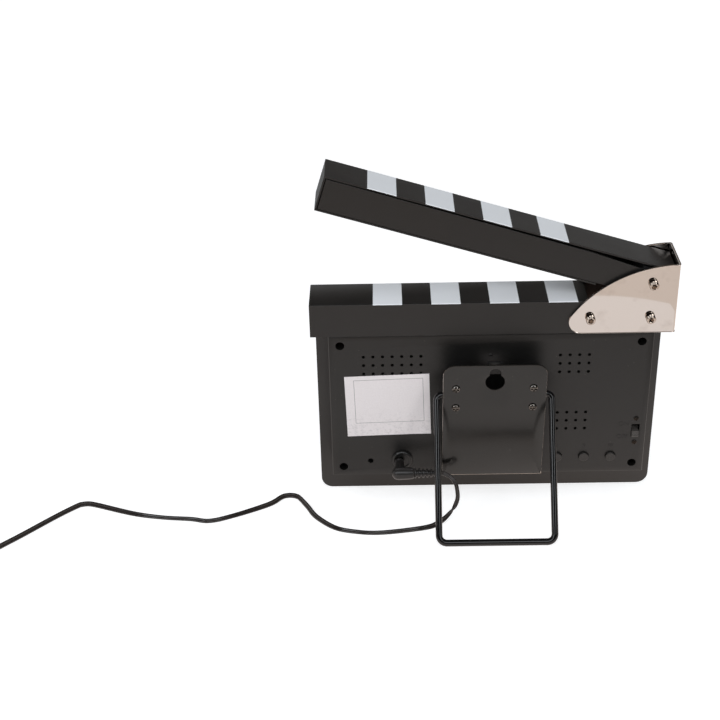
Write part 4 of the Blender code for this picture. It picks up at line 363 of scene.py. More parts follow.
def stick_paint(name, in_clapper):
    """Satin black paint on folded sheet, with four white film stripes over the top and the front.

    A stripe is where the distance from the stick's free end, less a start that moves with
    depth from SLANT_FROM under the top on, leaves a rest under the stripe's width when divided
    by the pitch. The film covers what lies less than FILM_OVER under the top, or than
    FILM_ROUND behind the front.
    """
    made, tree, shader, place = finish(name, "#12100F", 0.4, Specular_IOR_Level=0.5)
    if in_clapper:
        local, end, top = clapper_place(tree, place), CLAPPER_REACH, CLAPPER_HALF_HEIGHT
        front, start, slope = CLAPPER_FRONT, CLAPPER_FIRST_STRIPE, STRIPE_SLOPE
    else:
        local, end, top = case_place(tree, place), STICK_LEFT_X, STICK_TOP_Z
        front, start, slope = -BOARD_THICKNESS, STICK_FIRST_STRIPE, -STRIPE_SLOPE
    parts = node(tree, "SeparateXYZ", {0: local}).outputs
    mask = chain(tree, "Math", (
        ("run", "SUBTRACT", end, parts["X"]),
        ("below", "SUBTRACT", top - SLANT_FROM, parts["Z"]),
        ("depth", "MAXIMUM", "below", 0.0),
        ("lean", "MULTIPLY", "depth", slope),
        ("shifted", "SUBTRACT", "run", "lean"),
        ("from_first", "SUBTRACT", "shifted", start),
        ("count", "DIVIDE", "from_first", STRIPE_PITCH),
        ("rest", "FRACT", "count"),
        ("inside", "LESS_THAN", "rest", STRIPE_WIDTH / STRIPE_PITCH),
        ("begun", "GREATER_THAN", "count", 0.0),
        ("not_over", "LESS_THAN", "count", float(STRIPE_COUNT)),
        ("on_top", "GREATER_THAN", parts["Z"], top - FILM_OVER),
        ("on_front", "LESS_THAN", parts["Y"], front + FILM_ROUND),
        ("film", "MAXIMUM", "on_top", "on_front"),
        ("row", "MULTIPLY", "begun", "not_over"),
        ("bars", "MULTIPLY", "inside", "row"),
        ("mask", "MULTIPLY", "bars", "film"),
    ))["mask"]
    grain(tree, shader, place, 0.5 * MM, 0.012 * MM)
    base = mottle(tree, shader, place, 22 * MM, ("#11100F", "#151312"), (0.36, 0.44))
    coloured(tree, shader, mask, base, linear("#E4E6E8"))
    return made


def plain_paint(name, colours, roughness, size=0.5 * MM):
    """Satin paint or plastic without a pattern: its grain and its slow changes of tone."""
    made, tree, shader, place = finish(name, colours[0], roughness[0], Specular_IOR_Level=0.5)
    grain(tree, shader, place, size, 0.012 * MM)
    mottle(tree, shader, place, 20 * MM, colours, roughness)
    return made


def plate_paint():
    """Powder-painted black sheet with a few dust points, and a pale metallic band along its cut edges
    that is a painted highlight.

    In the plate's frame the painted highlight band lies within 1.5 mm of a side edge and more than 0.14
    mm below the front face, or within 1.7 mm of the lower edge and more than 0.04 mm below it.
    """
    made, tree, shader, place = finish("plate_paint", "#0F0E0C", 0.2, Specular_IOR_Level=0.55)
    grain(tree, shader, place, 0.35 * MM, 0.0015 * MM)
    base = mottle(tree, shader, place, 20 * MM, ("#0E0D0B", "#12110F"), (0.17, 0.22))
    dusty = specks(tree, shader, place, base, "#8A847C", 4 * MM, 0.25)
    parts = node(tree, "SeparateXYZ", {0: plate_place(tree, place)}).outputs
    # Painted highlight: a pale metallic band along the side and lower edges, standing in for the light
    # those edges catch
    painted_light_share = chain(tree, "Math", (
        ("wide", "ABSOLUTE", parts["X"]),
        ("below", "LESS_THAN", parts["Y"], -0.14 * MM),
        ("side", "GREATER_THAN", "wide", PLATE_HALF - 1.5 * MM),
        ("side_highlight_band", "MULTIPLY", "below", "side"),
        ("under_front", "LESS_THAN", parts["Y"], -0.04 * MM),
        ("foot", "LESS_THAN", parts["Z"], 1.7 * MM - PLATE_HEIGHT),
        ("foot_highlight_band", "MULTIPLY", "under_front", "foot"),
        ("painted_light_share", "MAXIMUM", "side_highlight_band", "foot_highlight_band"),
    ))["painted_light_share"]
    coloured(tree, shader, painted_light_share, dusty, linear("#C4BBB1"))
    tree.links.new(painted_light_share, shader.inputs["Metallic"])
    return made


def polished_steel(name, colour, roughness):
    """Polished metal: a mirror, with faint brown smudges where it was handled."""
    made, tree, shader, place = finish(name, colour, roughness[0], 1.0)
    inputs = {"Vector": place, "Scale": 1 / (9 * MM), "Detail": 3.0}
    handled = node(tree, "TexNoise", inputs).outputs["Fac"]
    rough = node(tree, "MapRange", {
        "Value": handled, "From Min": 0.35, "From Max": 0.75,
        "To Min": roughness[0], "To Max": roughness[1]})
    tree.links.new(rough.outputs[0], shader.inputs["Roughness"])
    smudge = node(tree, "MapRange", {
        "Value": handled, "From Min": 0.56, "From Max": 0.74, "To Max": 0.12})
    coloured(tree, shader, smudge.outputs[0], linear(colour), linear("#7A5A44"))
    return made


def gloss_wire():
    """Gloss black lacquer on wire: a dark body with a sharp long highlight."""
    made, tree, shader, place = finish("gloss_wire", "#080809", 0.1)
    grain(tree, shader, place, 3 * MM, 0.006 * MM)
    return made


def label_paper():
    """Matt label paper, off-white, with one thin printed frame, faint fibres and creases drawn as
    painted grey shade.

    The frame is where the larger of the distances past its half width and past its half height
    is nought within half a line. The creases' painted shade is a noise, cut off, that grows toward the
    foot.
    """
    made, tree, shader, place = finish("label_paper", "#DAD5D4", 0.75)
    centred = node(tree, "Mapping", {
        "Vector": case_place(tree, place), "Location": tuple(-np.array(PRINT_MIDDLE))}).outputs[0]
    squared = node(tree, "Mapping", {"Vector": centred, "Rotation": (0, -LABEL_TURN, 0)}).outputs[0]
    parts = node(tree, "SeparateXYZ", {0: squared}).outputs
    ink = chain(tree, "Math", (
        ("wide", "ABSOLUTE", parts["X"]),
        ("high", "ABSOLUTE", parts["Z"]),
        ("across", "SUBTRACT", "wide", PRINT_HALF_WIDTH),
        ("along", "SUBTRACT", "high", PRINT_HALF_HEIGHT),
        ("outside", "MAXIMUM", "across", "along"),
        ("edge", "ABSOLUTE", "outside"),
        ("line", "LESS_THAN", "edge", PRINT_LINE),
        ("ink", "MULTIPLY", "line", 0.8),
    ))["ink"]
    fibres = node(tree, "TexNoise", {
        "Vector": place, "Scale": 1 / (0.7 * MM), "Detail": 4.0}).outputs["Fac"]
    tone = coloured(tree, shader, fibres, linear("#DAD0CE"), linear("#E8E1DF"))
    # Painted shade of the paper's creases: a cut-off noise, darker toward the label's foot
    creases = node(tree, "TexNoise", {
        "Vector": place, "Scale": 1 / (2.2 * MM), "Detail": 5.0, "Roughness": 0.7}).outputs["Fac"]
    low = node(tree, "MapRange", {
        "Value": parts["Z"], "From Min": -4 * MM, "From Max": -20 * MM, "To Max": 0.9}).outputs[0]
    crease = node(tree, "MapRange", {"Value": creases, "From Min": 0.5, "From Max": 0.75}).outputs[0]
    painted_light_share = node(tree, "Math", {0: crease, 1: low}, operation="MULTIPLY").outputs[0]
    crease_shaded = coloured(tree, shader, painted_light_share, tone, linear("#BDB6B4"))
    coloured(tree, shader, ink, crease_shaded, linear("#5F5B5B"))
    relief(tree, shader, fibres, 0.01 * MM)
    return made


def block_wood():
    """Dark-stained beech: brown, with darker pores drawn out along the stick."""
    made, tree, shader, place = finish("block_wood", "#33221A", 0.65)
    drawn = node(tree, "Mapping", {"Vector": place, "Scale": (0.08, 1.0, 1.0)}).outputs[0]
    pores = node(tree, "TexNoise", {
        "Vector": drawn, "Scale": 1 / (0.9 * MM), "Detail": 3.0}).outputs["Fac"]
    coloured(tree, shader, pores, linear("#1E120C"), linear("#4A3225"))
    relief(tree, shader, pores, 0.03 * MM)
    return made


def smoked_acrylic():
    """Smoked acrylic: a gloss sheet that lets the lit bars through as deep red."""
    return finish("smoked_acrylic", "#5A2A2A", 0.04, IOR=1.49, Transmission_Weight=0.92)[0]


def lit_plastic():
    """Black numeral blocks whose raised bars are lit red, so that they show through the pane.

    The lit part is all that stands in front of LIT_DEPTH in the case frame.
    """
    made, tree, shader, place = finish("lit_epoxy", "#141010", 0.5)
    depth = node(tree, "SeparateXYZ", {0: case_place(tree, place)}).outputs["Y"]
    strength = chain(tree, "Math", (
        ("lit", "LESS_THAN", depth, LIT_DEPTH),
        ("strength", "MULTIPLY", "lit", 9.0),
    ))["strength"]
    shader.inputs["Emission Color"].default_value = linear("#FF2A14")
    tree.links.new(strength, shader.inputs["Emission Strength"])
    return made


@contextlib.contextmanager
def edited(data):
    """A mesh's own editing mesh, written back when the block ends."""
    work = bmesh.new()
    work.from_mesh(data)
    yield work
    work.to_mesh(data)
    work.free()


def move_points(data, moved):
    """Moves a mesh's points by a function of all their places."""
    points = np.empty(len(data.vertices) * 3)
    data.vertices.foreach_get("co", points)
    data.vertices.foreach_set("co", moved(points.reshape(-1, 3)).ravel())


def surface(name, grids, look, stands_for=(), place=from_case, body="case", sharp=35.0):
    """Makes one piece from grids of rings, whose points place puts in the world.

    Each ring closes on itself and is joined to the next by quads. The first and last ring of
    a grid are closed by a face, or meet in a point where they have no size. A grid given as a
    loop joins its last ring to its first.
    """
    points, faces, start = [], [], 0
    for rings, looped in grids:
        rings = place(np.asarray(rings, float))
        rows, columns = rings.shape[:2]
        index = start + np.arange(rows * columns).reshape(rows, columns)
        beside = np.roll(index, -1, axis=1)
        above = np.roll(index, -1, axis=0) if looped else index[1:]
        beside_above = np.roll(beside, -1, axis=0) if looped else beside[1:]
        count = rows if looped else rows - 1
        quads = np.stack((index[:count], beside[:count], beside_above, above), axis=-1)
        faces += quads.reshape(-1, 4).tolist()
        if not looped:
            faces += [index[0][::-1].tolist(), index[-1].tolist()]
        points.append(rings.reshape(-1, 3))
        start += rows * columns
    data = bpy.data.meshes.new(name)
    data.from_pydata(np.concatenate(points).tolist(), [], faces)
    with edited(data) as work:
        bmesh.ops.remove_doubles(work, verts=work.verts, dist=1e-7)
        bmesh.ops.dissolve_degenerate(work, edges=work.edges, dist=1e-8)
        bmesh.ops.recalc_face_normals(work, faces=work.faces)
    return shown(name, data, look, stands_for, body, sharp)


def shown(name, data, look, stands_for=(), body="case", sharp=35.0):
    """Puts a finished mesh in the scene: its material, its body and the node it stands for."""
    data.materials.clear()
    data.materials.append(LOOKS[look])
    data.shade_smooth()
    data.set_sharp_from_angle(angle=math.radians(sharp))
    piece = bpy.data.objects.new(name, data)
    bpy.context.scene.collection.objects.link(piece)
    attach(piece, body)
    if stands_for:
        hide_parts(*stands_for)
    return piece


def softened(name, cad_node, look, radius, body="case"):
    """A merged copy of a CAD node whose sharp edges are rounded by a Bevel modifier."""
    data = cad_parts[cad_node].data.copy()
    with edited(data) as work:
        bmesh.ops.remove_doubles(work, verts=work.verts, dist=1e-6)
        flat = math.radians(1.0)
        bmesh.ops.dissolve_limit(work, angle_limit=flat, verts=work.verts, edges=work.edges)
    piece = shown(name, data, look, (cad_node,), body)
    bevel = piece.modifiers.new("rounded_edges", "BEVEL")
    bevel.width = radius
    bevel.segments = 3
    bevel.limit_method = "ANGLE"
    bevel.angle_limit = math.radians(40)
    bevel.harden_normals = True
    return piece


def circle(count):
    """The cosines and sines of so many even angles round a circle, as two columns."""
    angles = np.arange(count) * math.tau / count
    return np.column_stack((np.cos(angles), np.sin(angles)))


def turned(profile, columns=32, radius_of=None):
    """Rings of a turned piece: each (radius, along) pair drawn round the local y axis.

    radius_of may give a row's own radius at each angle, such as a hexagon's.
    """
    profile = np.asarray(profile, float)
    angles = np.arange(columns) * math.tau / columns
    radii = np.repeat(profile[:, :1], columns, axis=1)
    for row, shape in (radius_of or {}).items():
        radii[row] = shape(angles)
    along = np.repeat(profile[:, 1:], columns, axis=1)
    return np.stack((radii * np.cos(angles), along, radii * np.sin(angles)), axis=-1)


def inset(outline, distance):
    """A closed outline drawn in by a distance along its corner bisectors."""
    edges = np.roll(outline, -1, axis=0) - outline
    normals = np.stack((-edges[:, 1], edges[:, 0]), axis=1)
    normals /= np.linalg.norm(normals, axis=1, keepdims=True)
    before = np.roll(normals, 1, axis=0)
    bisector = (normals + before) / (1 + (normals * before).sum(1, keepdims=True))
    return outline + bisector * distance


def slab(outline, low, high, edge, steps=3):
    """Rings of a slab between two rounded edges, as (a, height, b).

    The outline is drawn in by a quarter circle's depth at each end, and is full between them.
    """
    rows = []
    for angle in np.linspace(0, 1, steps + 1) * math.pi / 2:
        rows.append((edge * (1 - math.sin(angle)), low + edge * (1 - math.cos(angle))))
    rows += [(drawn, high - (height - low)) for drawn, height in reversed(rows)]
    return np.array([at_height(inset(outline, drawn), height) for drawn, height in rows])


def at_height(flat, height):
    """Flat (a, b) points as (a, height, b)."""
    return np.column_stack((flat[:, 0], np.full(len(flat), height), flat[:, 1]))


def rounded_rectangle(left, right, bottom, top, radii, steps=8):
    """A closed outline, counter-clockwise, with radii at its lower left, lower right, upper right
    and upper left corners."""
    corners = (
        (left, bottom, 1, 1, math.pi), (right, bottom, -1, 1, 1.5 * math.pi),
        (right, top, -1, -1, 0.0), (left, top, 1, -1, 0.5 * math.pi),
    )
    points = []
    for (a, b, in_a, in_b, begin), radius in zip(corners, radii):
        angles = begin + np.linspace(0, math.pi / 2, steps + 1)
        points.append(np.column_stack((
            a + in_a * radius + radius * np.cos(angles), b + in_b * radius + radius * np.sin(angles))))
    return np.concatenate(points)


def swept(path, profile, normals, twist=0.0):
    """A closed profile of (side, up) points carried along a path, turned by twist at each point."""
    along = np.gradient(path, axis=0)
    along /= np.linalg.norm(along, axis=1, keepdims=True)
    up = normals - along * (normals * along).sum(1, keepdims=True)
    up /= np.linalg.norm(up, axis=1, keepdims=True)
    side = np.cross(along, up)
    twist = np.broadcast_to(twist, len(path))[:, None, None]
    a = profile[None, :, :1] * np.cos(twist) - profile[None, :, 1:] * np.sin(twist)
    b = profile[None, :, :1] * np.sin(twist) + profile[None, :, 1:] * np.cos(twist)
    return path[:, None] + side[:, None] * a + up[:, None] * b


def run_along(points):
    """How far along a line each of its points lies."""
    return np.concatenate(([0.0], np.cumsum(np.linalg.norm(np.diff(points, axis=0), axis=1))))


def even(points, step):
    """Points at equal steps along a line of points."""
    run = run_along(points)
    stations = np.linspace(0, run[-1], max(2, round(run[-1] / step) + 1))
    return np.stack([np.interp(stations, run, points[:, axis]) for axis in range(3)], axis=1)


def smooth_line(route):
    """The smooth curve through a route: cubic pieces whose slope at a point is that between its
    neighbours."""
    route = np.asarray(route, float)
    padded = np.concatenate((2 * route[:1] - route[1:2], route, 2 * route[-1:] - route[-2:-1]))
    t = (np.arange(ROUTE_PARTS) / ROUTE_PARTS)[None, :, None]
    before, start, end, after = (padded[k:len(padded) - 3 + k, None] for k in range(4))
    curve = 0.5 * (2 * start + (end - before) * t + (2 * before - 5 * start + 4 * end - after) * t ** 2
                   + (3 * start - before - 3 * end + after) * t ** 3)
    return np.concatenate((curve.reshape(-1, 3), route[-1:]))


def set_up(name, data, right, up, back, place):
    """Puts a camera or a lamp in the scene: the columns of its matrix are its axes and its place."""
    matrix = np.eye(4)
    matrix[:3, 0], matrix[:3, 1], matrix[:3, 2], matrix[:3, 3] = right, up, back, place
    holder = bpy.data.objects.new(name, data)
    holder.matrix_world = matrix.T
    bpy.context.scene.collection.objects.link(holder)
    return holder


def make_camera():
    """The camera at the photograph's place, angle and lens."""
    data = bpy.data.cameras.new("photo_camera")
    data.lens = CAMERA_LENS
    data.sensor_width = SENSOR_WIDTH
    right, forward = np.array(CAMERA_RIGHT), np.array(CAMERA_FORWARD)
    camera = set_up("photo_camera", data, right, np.cross(right, forward), -forward, CAMERA_PLACE)
    bpy.context.scene.camera = camera


def lead_line():
    """The lead's centre line: out of the plug, along the ground, through the coil, to the adapter.

    The coil runs inward over half its turns and outward over the rest, one pitch a turn, and
    climbs from the lower layer to the upper one by a smooth step at its middle.
    """
    start = from_case((PLUG_PLACE[0] - LEAD_START, PLUG_PLACE[1], PLUG_PLACE[2]))
    out = start - (LEAD_WIDTH, 0, 0)
    ground = np.array(ROUTE) + (start[0], 0, 0)
    turns = np.linspace(0, COIL_TURNS, round(COIL_TURNS * COIL_COLUMNS) + 1)
    angle = COIL_ENTRY - math.tau * turns
    radius = COIL_INNER + COIL_PITCH * np.abs(turns - COIL_TURNS / 2)
    climb = np.clip(2 * (turns - COIL_TURNS / 2) + 0.5, 0, 1)
    height = LAYER_LOW + (LAYER_HIGH - LAYER_LOW) * climb ** 2 * (3 - 2 * climb)
    loops = np.column_stack((
        COIL_CENTRE[0] + radius * np.cos(angle), COIL_CENTRE[1] + radius * np.sin(angle), height))
    free = smooth_line(np.concatenate(([start, out], ground, loops[:1])))
    end = np.array(ADAPTER_END)
    tail = smooth_line(np.array([loops[-2], loops[-1], loops[-1] + (0, -6 * MM, 0.6 * MM),
                                 end + (0, 12 * MM, 0), end + (0, 5 * MM, 0), end]))
    return even(np.concatenate((free[:-1], loops, tail[ROUTE_PARTS + 1:])), LEAD_STEP)


def make_lead():
    """The flat twin lead: an oval 3.2 by 1.7 mm with a groove along its middle, turned as it lies.

    The groove is a bell curve about the middle, taken from the oval's height. On the ground the
    lead lies on whichever part of it is lowest at that turn, and its height is the mean of seven
    points. Its upper side faces back along x where it hangs, and up from 60 mm on.
    """
    line = lead_line()
    run = run_along(line)
    twist = np.radians(np.interp(run / MM, TWIST_STATIONS, TWIST_ANGLES))
    rise = np.hypot(LEAD_WIDTH / 4 * np.cos(twist), LEAD_WIDTH / 2 * np.sin(twist))
    on_ground = (run > GROUND_FROM) & (run < GROUND_TO)
    height = np.where(on_ground, rise + GROUND_GAP, line[:, 2])
    padded = np.concatenate((np.full(3, height[0]), height, np.full(3, height[-1])))
    line[:, 2] = np.convolve(padded, np.ones(7) / 7, "valid")
    across, up = circle(28).T
    groove = 1.1 - 0.75 * np.exp(-(across / 0.28) ** 2)
    profile = np.column_stack((LEAD_WIDTH / 2 * across, LEAD_WIDTH / 4 * up * groove))
    hanging = np.interp(run / MM, (0, 32, 60), (1, 1, 0))
    upward = np.column_stack((-hanging, np.zeros_like(run), np.ones_like(run)))
    rings = swept(line, profile, upward, twist)
    stands_for = ("lead_free", "lead_coil")
    return surface("lead", [(rings, False)], "lead_pvc", stands_for, np.asarray, sharp=60), line


def make_tie():
    """The strap round one side of the coil: a thin band carried round a rounded rectangle."""
    near, far = COIL_INNER - LEAD_WIDTH / 2, COIL_OUTER + LEAD_WIDTH / 2
    low, high = LAYER_LOW - LEAD_WIDTH / 4 - 0.1 * MM, LAYER_HIGH + LEAD_WIDTH / 4 + 0.1 * MM
    path = rounded_rectangle(near, far, low, high, (TIE_CORNER,) * 4, 6)
    outer = inset(path, -TIE_WALL)
    rings = []
    for side, ring in ((-1, path), (-1, outer), (1, outer), (1, path)):
        across = np.full(len(ring), COIL_CENTRE[0] + side * TIE_HALF_WIDTH)
        rings.append(np.column_stack((across, COIL_CENTRE[1] + ring[:, 0], ring[:, 1])))
    return surface("coil_tie", [(rings, True)], "tie_strap", ("lead_tie",), np.asarray)


def make_plug():
    """The elbow plug: a round-nosed body along x, with a necked shank and a sleeve for the socket."""
    nose, tip, radius, tip_radius = 4.9 * MM, -8.2 * MM, 3.9 * MM, 3.3 * MM
    rows = [(radius * math.sin(a), nose - radius + radius * math.cos(a))
            for a in np.linspace(0, math.pi / 2, 9)]
    rows += [(radius, 0.0), (tip_radius + 0.3 * MM, tip + 2.2 * MM), (tip_radius, tip + 0.4 * MM),
             (tip_radius - 0.4 * MM, tip), (0, tip)]
    body = turned(rows, 36)[..., [1, 0, 2]] + PLUG_PLACE
    neck_rows = [(0, -13.4), (2.35, -13.4), (2.35, -12.2), (2.75, -12.2), (2.95, -12.0), (2.95, -11.2),
                 (2.7, -10.9), (2.7, -8.6), (3.0, -6.0), (3.5, -3.6), (3.6, -1.0), (0, -1.0)]
    neck = turned(np.array(neck_rows) * MM, 32) + PLUG_PLACE
    surface("elbow_plug", [(body, False), (neck, False)], "plug_pvc", ("dc_plug",))
    sleeve_rows = [(1.1, -23.0), (1.1, -12.0), (2.2, -12.0), (2.2, -22.7), (1.9, -23.0)]
    sleeve = turned(np.array(sleeve_rows) * MM, 24) + PLUG_PLACE
    surface("plug_sleeve", [(sleeve, True)], "bright_steel")


def make_relief():
    """The strain relief: rings and grooves of a slow taper, with rounded shoulders."""
    count = 2 * RELIEF_RIBS - 1
    rib = RELIEF_LENGTH / count
    rows = [(0, 0)]
    for index in range(count):
        groove = index % 2
        radius = (3.0 - 0.6 * index / (count - 1)) * MM - (1.0 * MM if groove else 0)
        soft = 0.0 if groove else 0.3 * MM
        a, b = -rib * index, -rib * (index + 1)
        rows += [(radius - soft, a), (radius, a - soft * 0.8),
                 (radius, b + soft * 0.8), (radius - soft, b)]
    rows.append((0, -RELIEF_LENGTH))
    place = np.array(PLUG_PLACE) - (RELIEF_START, 0, 0)
    rings = turned(rows, 28)[..., [1, 0, 2]] + place
    return surface("strain_relief", [(rings, False)], "plug_pvc", ("plug_relief",))


def make_adapter():
    """The plug-top adapter, lying on its back."""
    return [
        softened("wall_adapter", "mains_adapter", "adapter_plastic", 0.8 * MM),
        softened("contact_pin_1", "adapter_pin_1", "pin_brass", 0.2 * MM),
        softened("contact_pin_2", "adapter_pin_2", "pin_brass", 0.2 * MM),
    ]


def make_stand():
    """The wire stand: a round wire carried along two inward ends, two legs and the foot bar."""
    angles = np.linspace(0, math.pi / 2, 13)
    top, foot = STAND_TOP_BEND, STAND_FOOT_BEND
    upper = np.column_stack((STAND_HALF - top + top * np.sin(angles), -top + top * np.cos(angles)))
    lower = np.column_stack((
        STAND_HALF - foot + foot * np.cos(angles), -STAND_LENGTH + foot - foot * np.sin(angles)))
    half = np.concatenate(([[STAND_END, 0.0]], upper, lower))
    path = at_height(np.concatenate((half, half[::-1] * (-1, 1))), 0.0)
    rings = swept(path, WIRE_RADIUS * circle(24), np.array([[0.0, 1.0, 0.0]]) + np.zeros_like(path))
    rings = turn(rings, STAND_TURN, 0) + STAND_AXIS
    surface("bent_wire_stand", [(rings, False)], "gloss_wire", ("stand_wire",), body="stand", sharp=50)


def bracket_heights(x):
    """The lower and upper edge of the bracket's side at each x, and the x of its tip.

    The upper edge is a long arc that runs into a round nose.
    """
    arc_z = BRACKET_TOP_Z - BRACKET_ARC
    nose_z = BRACKET_BOTTOM_Z + BRACKET_NOSE
    spread = BRACKET_ARC - BRACKET_NOSE
    nose_x = BRACKET_RIGHT_X + math.sqrt(spread ** 2 - (nose_z - arc_z) ** 2)
    joint_x = nose_x + BRACKET_NOSE * (nose_x - BRACKET_RIGHT_X) / spread
    arc_part = np.sqrt(np.clip(BRACKET_ARC ** 2 - (x - BRACKET_RIGHT_X) ** 2, 0, None))
    round_part = np.sqrt(np.clip(BRACKET_NOSE ** 2 - (x - nose_x) ** 2, 0, None))
    upper = np.where(x < joint_x, arc_z + arc_part, nose_z + round_part)
    lower = np.where(x < nose_x, BRACKET_BOTTOM_Z, nose_z - round_part)
    return lower, upper, nose_x + BRACKET_NOSE


def make_bracket():
    """The bright bracket: a thin bar section carried round a U in plan, as tall as the side's outline.

    The section's four corners are quarter circles, flattened where the nose leaves less height.
    """
    tip = bracket_heights(np.zeros(1))[2] - 0.01 * MM
    bend = BRACKET_RIGHT_X + BRACKET_BEND
    share = (1 - np.cos(np.linspace(0, math.pi / 2, BRACKET_COLUMNS))) ** 1.3
    side_x = tip - (tip - bend) * share
    half = BRACKET_SHEET / 2
    quarter = np.linspace(0, math.pi / 2, 7)[1:-1]
    middle = BRACKET_BEND - half
    end_x, rear_bend_y, front_bend_y = (
        BRACKET_RIGHT_X + half, BRACKET_REAR_Y - BRACKET_BEND, BRACKET_FRONT_Y + BRACKET_BEND)
    plan = np.concatenate((
        np.column_stack((side_x, np.full(BRACKET_COLUMNS, BRACKET_REAR_Y - half))),
        np.column_stack((bend - middle * np.sin(quarter), rear_bend_y + middle * np.cos(quarter))),
        [[end_x, rear_bend_y], [end_x, front_bend_y]],
        np.column_stack((bend - middle * np.cos(quarter), front_bend_y - middle * np.sin(quarter))),
        np.column_stack((side_x[::-1], np.full(BRACKET_COLUMNS, BRACKET_FRONT_Y + half)))))
    along = np.gradient(plan, axis=0)
    along /= np.linalg.norm(along, axis=1, keepdims=True)
    outward = np.column_stack((-along[:, 1], along[:, 0]))
    lower, upper, _ = bracket_heights(np.maximum(plan[:, 0], BRACKET_RIGHT_X))
    edge = np.minimum(BRACKET_EDGE, (upper - lower) / 2.2)
    quarter = np.linspace(0, math.pi / 2, 4)
    rings = []
    for outer, base, inwards, angles in (
            (1, lower, 1, quarter), (1, upper, -1, quarter[::-1]),
            (-1, upper, -1, quarter), (-1, lower, 1, quarter[::-1])):
        for angle in angles:
            away = outer * (half - BRACKET_EDGE * (1 - math.cos(angle)))
            height = base + inwards * edge * (1 - math.sin(angle))
            rings.append(np.column_stack((plan + outward * away, height)))
    rings = np.stack(rings, axis=1)
    surface("steel_bracket", [(rings, False)], "bright_steel", ("hinge_bracket",), sharp=30)


def hexagon(corner_radius):
    """The radius of a hexagon at each angle: a flat's distance over the cosine of the angle from it."""
    flat = corner_radius * math.cos(math.pi / 6)
    return lambda angles: flat / np.cos(angles % (math.pi / 3) - math.pi / 6)


def make_socket_screws():
    """Socket screws: a chamfered round head with a hexagonal socket, on a plain shank."""
    rows = np.array([(0, -12), (1.5, -12), (1.5, 0.05), (2.6, 0.0), (2.75, 0.2), (2.75, 2.2),
                     (2.68, 2.5), (2.5, 2.76), (2.25, 2.93), (1.95, 3.0), (1.7, 2.97), (1.5, 2.8),
                     (1.4, -0.4), (0, -0.6)]) * MM
    shapes = {11: hexagon(1.62 * MM), 12: hexagon(1.5 * MM)}
    sides = [(facing, place) for facing in (1, -1) for place in FIXED_SCREWS]
    places = [(f"socket_screw_{number}", f"bracket_screw_{number}", facing, x, z, 0.35 * number)
              for number, (facing, (x, z)) in enumerate(sides, start=1)]
    places.append(("pivot_screw", "pivot_bolt", 1, PIVOT[0], PIVOT[2], 0.2))
    for name, stands_for, facing, x, z, spin in places:
        this = rows.copy()
        if name == "pivot_screw":
            this[:2, 1] = -PIVOT_SHANK
        rings = turn(turned(this, 48, shapes), spin, 1)
        rings[..., 1] *= facing
        seat = BRACKET_REAR_Y + SCREW_SEAT if facing > 0 else BRACKET_FRONT_Y - SCREW_SEAT
        surface(name, [(rings + (x, seat, z), False)], "screw_steel", (stands_for,))


def make_pivot_hardware():
    """The nut and the washers of the pivot, with rounded edges."""
    nut_front = BRACKET_FRONT_Y - SCREW_SEAT - 2.4 * MM
    rows = np.array([(1.8, 0), (2.7, 0), (3.1, 0.3), (3.1, 2.1), (2.7, 2.4), (1.8, 2.4)]) * MM
    shapes = {2: hexagon(3.1 * MM), 3: hexagon(3.1 * MM)}
    rings = turned(rows, 48, shapes) + (PIVOT[0], nut_front, PIVOT[2])
    surface("lock_nut", [(rings, True)], "screw_steel", ("pivot_nut",))
    for number in (1, 2):
        softened(f"thin_washer_{number}", f"pivot_washer_{number}", "screw_steel", 0.1 * MM)


def dome_screw(name, place_of, centre, look, stands_for, radius, height, shank):
    """A domed screw with a cross recess.

    The height over the seat is a dome's, lower over the last 0.07 of its radius, less a depth
    that rises smoothly inside the two arms of the cross.
    """
    columns = 64
    angles = np.arange(columns) * math.tau / columns
    radii = np.concatenate((np.linspace(0.001, 0.75, 22), np.linspace(0.8, 1.0, 6))) * radius
    r, a = np.meshgrid(radii[::-1], angles, indexing="ij")
    x, z = r * np.cos(a), r * np.sin(a)
    share = r / radius
    rim = np.where(r > radius * 0.93, 1 - ((share - 0.93) / 0.07) ** 2 * 0.6, 1)
    dome = height * (1 - share ** 2 * 0.8) * rim
    arm, reach = radius * 0.17, radius * 0.68
    inside = np.maximum(
        (arm - np.abs(x)) * (np.abs(z) < reach), (arm - np.abs(z)) * (np.abs(x) < reach))
    depth = np.clip(inside / (radius * 0.05), 0, 1) * height * 0.5
    top = np.stack((x, dome - depth, z), axis=-1)
    under = turned([(0, -shank), (radius * 0.52, -shank), (radius * 0.52, 0.0), (radius, 0.0)], columns)
    surface(name, [(np.concatenate((under, top)) + centre, False)], look, (stands_for,), place_of)


def make_dome_screws():
    """The plate's four domed screws, and the two small ones of the switch."""
    places = [(side * PLATE_SCREW_X, SCREW_SEAT, row) for row in PLATE_SCREW_ROWS for side in (1, -1)]
    for number, place in enumerate(places, start=1):
        dome_screw(f"dome_screw_{number}", from_plate, place, "black_screw",
                   f"plate_screw_{number}", 2.4 * MM, 1.5 * MM, 8.7 * MM)
    for number, height in enumerate(SWITCH_SCREW_HEIGHTS, start=1):
        dome_screw(f"small_screw_{number}", from_case, (SWITCH_SCREW_X, PANEL_Y + SCREW_SEAT, height),
                   "black_oxide", f"switch_screw_{number}", 1.5 * MM, 0.7 * MM, 5.0 * MM)


def make_buttons():
    """Three round caps with a soft edge and a shallow dish, on a flange and a stem."""
    rows = np.array([(0, 14.2), (1.4, 14.2), (1.4, 15.5), (4.4, 15.5), (4.4, 16.7), (3.0, 16.7),
                     (3.0, 20.1), (2.92, 20.38), (2.72, 20.55), (2.4, 20.6), (1.2, 20.5),
                     (0, 20.46)]) * MM
    for name, x in BUTTONS:
        rings = turned(rows, 40) + (x * MM, 0, BUTTON_HEIGHT * MM)
        surface(f"cap_of_{name}", [(rings, False)], "button_plastic", (name,), body=name)


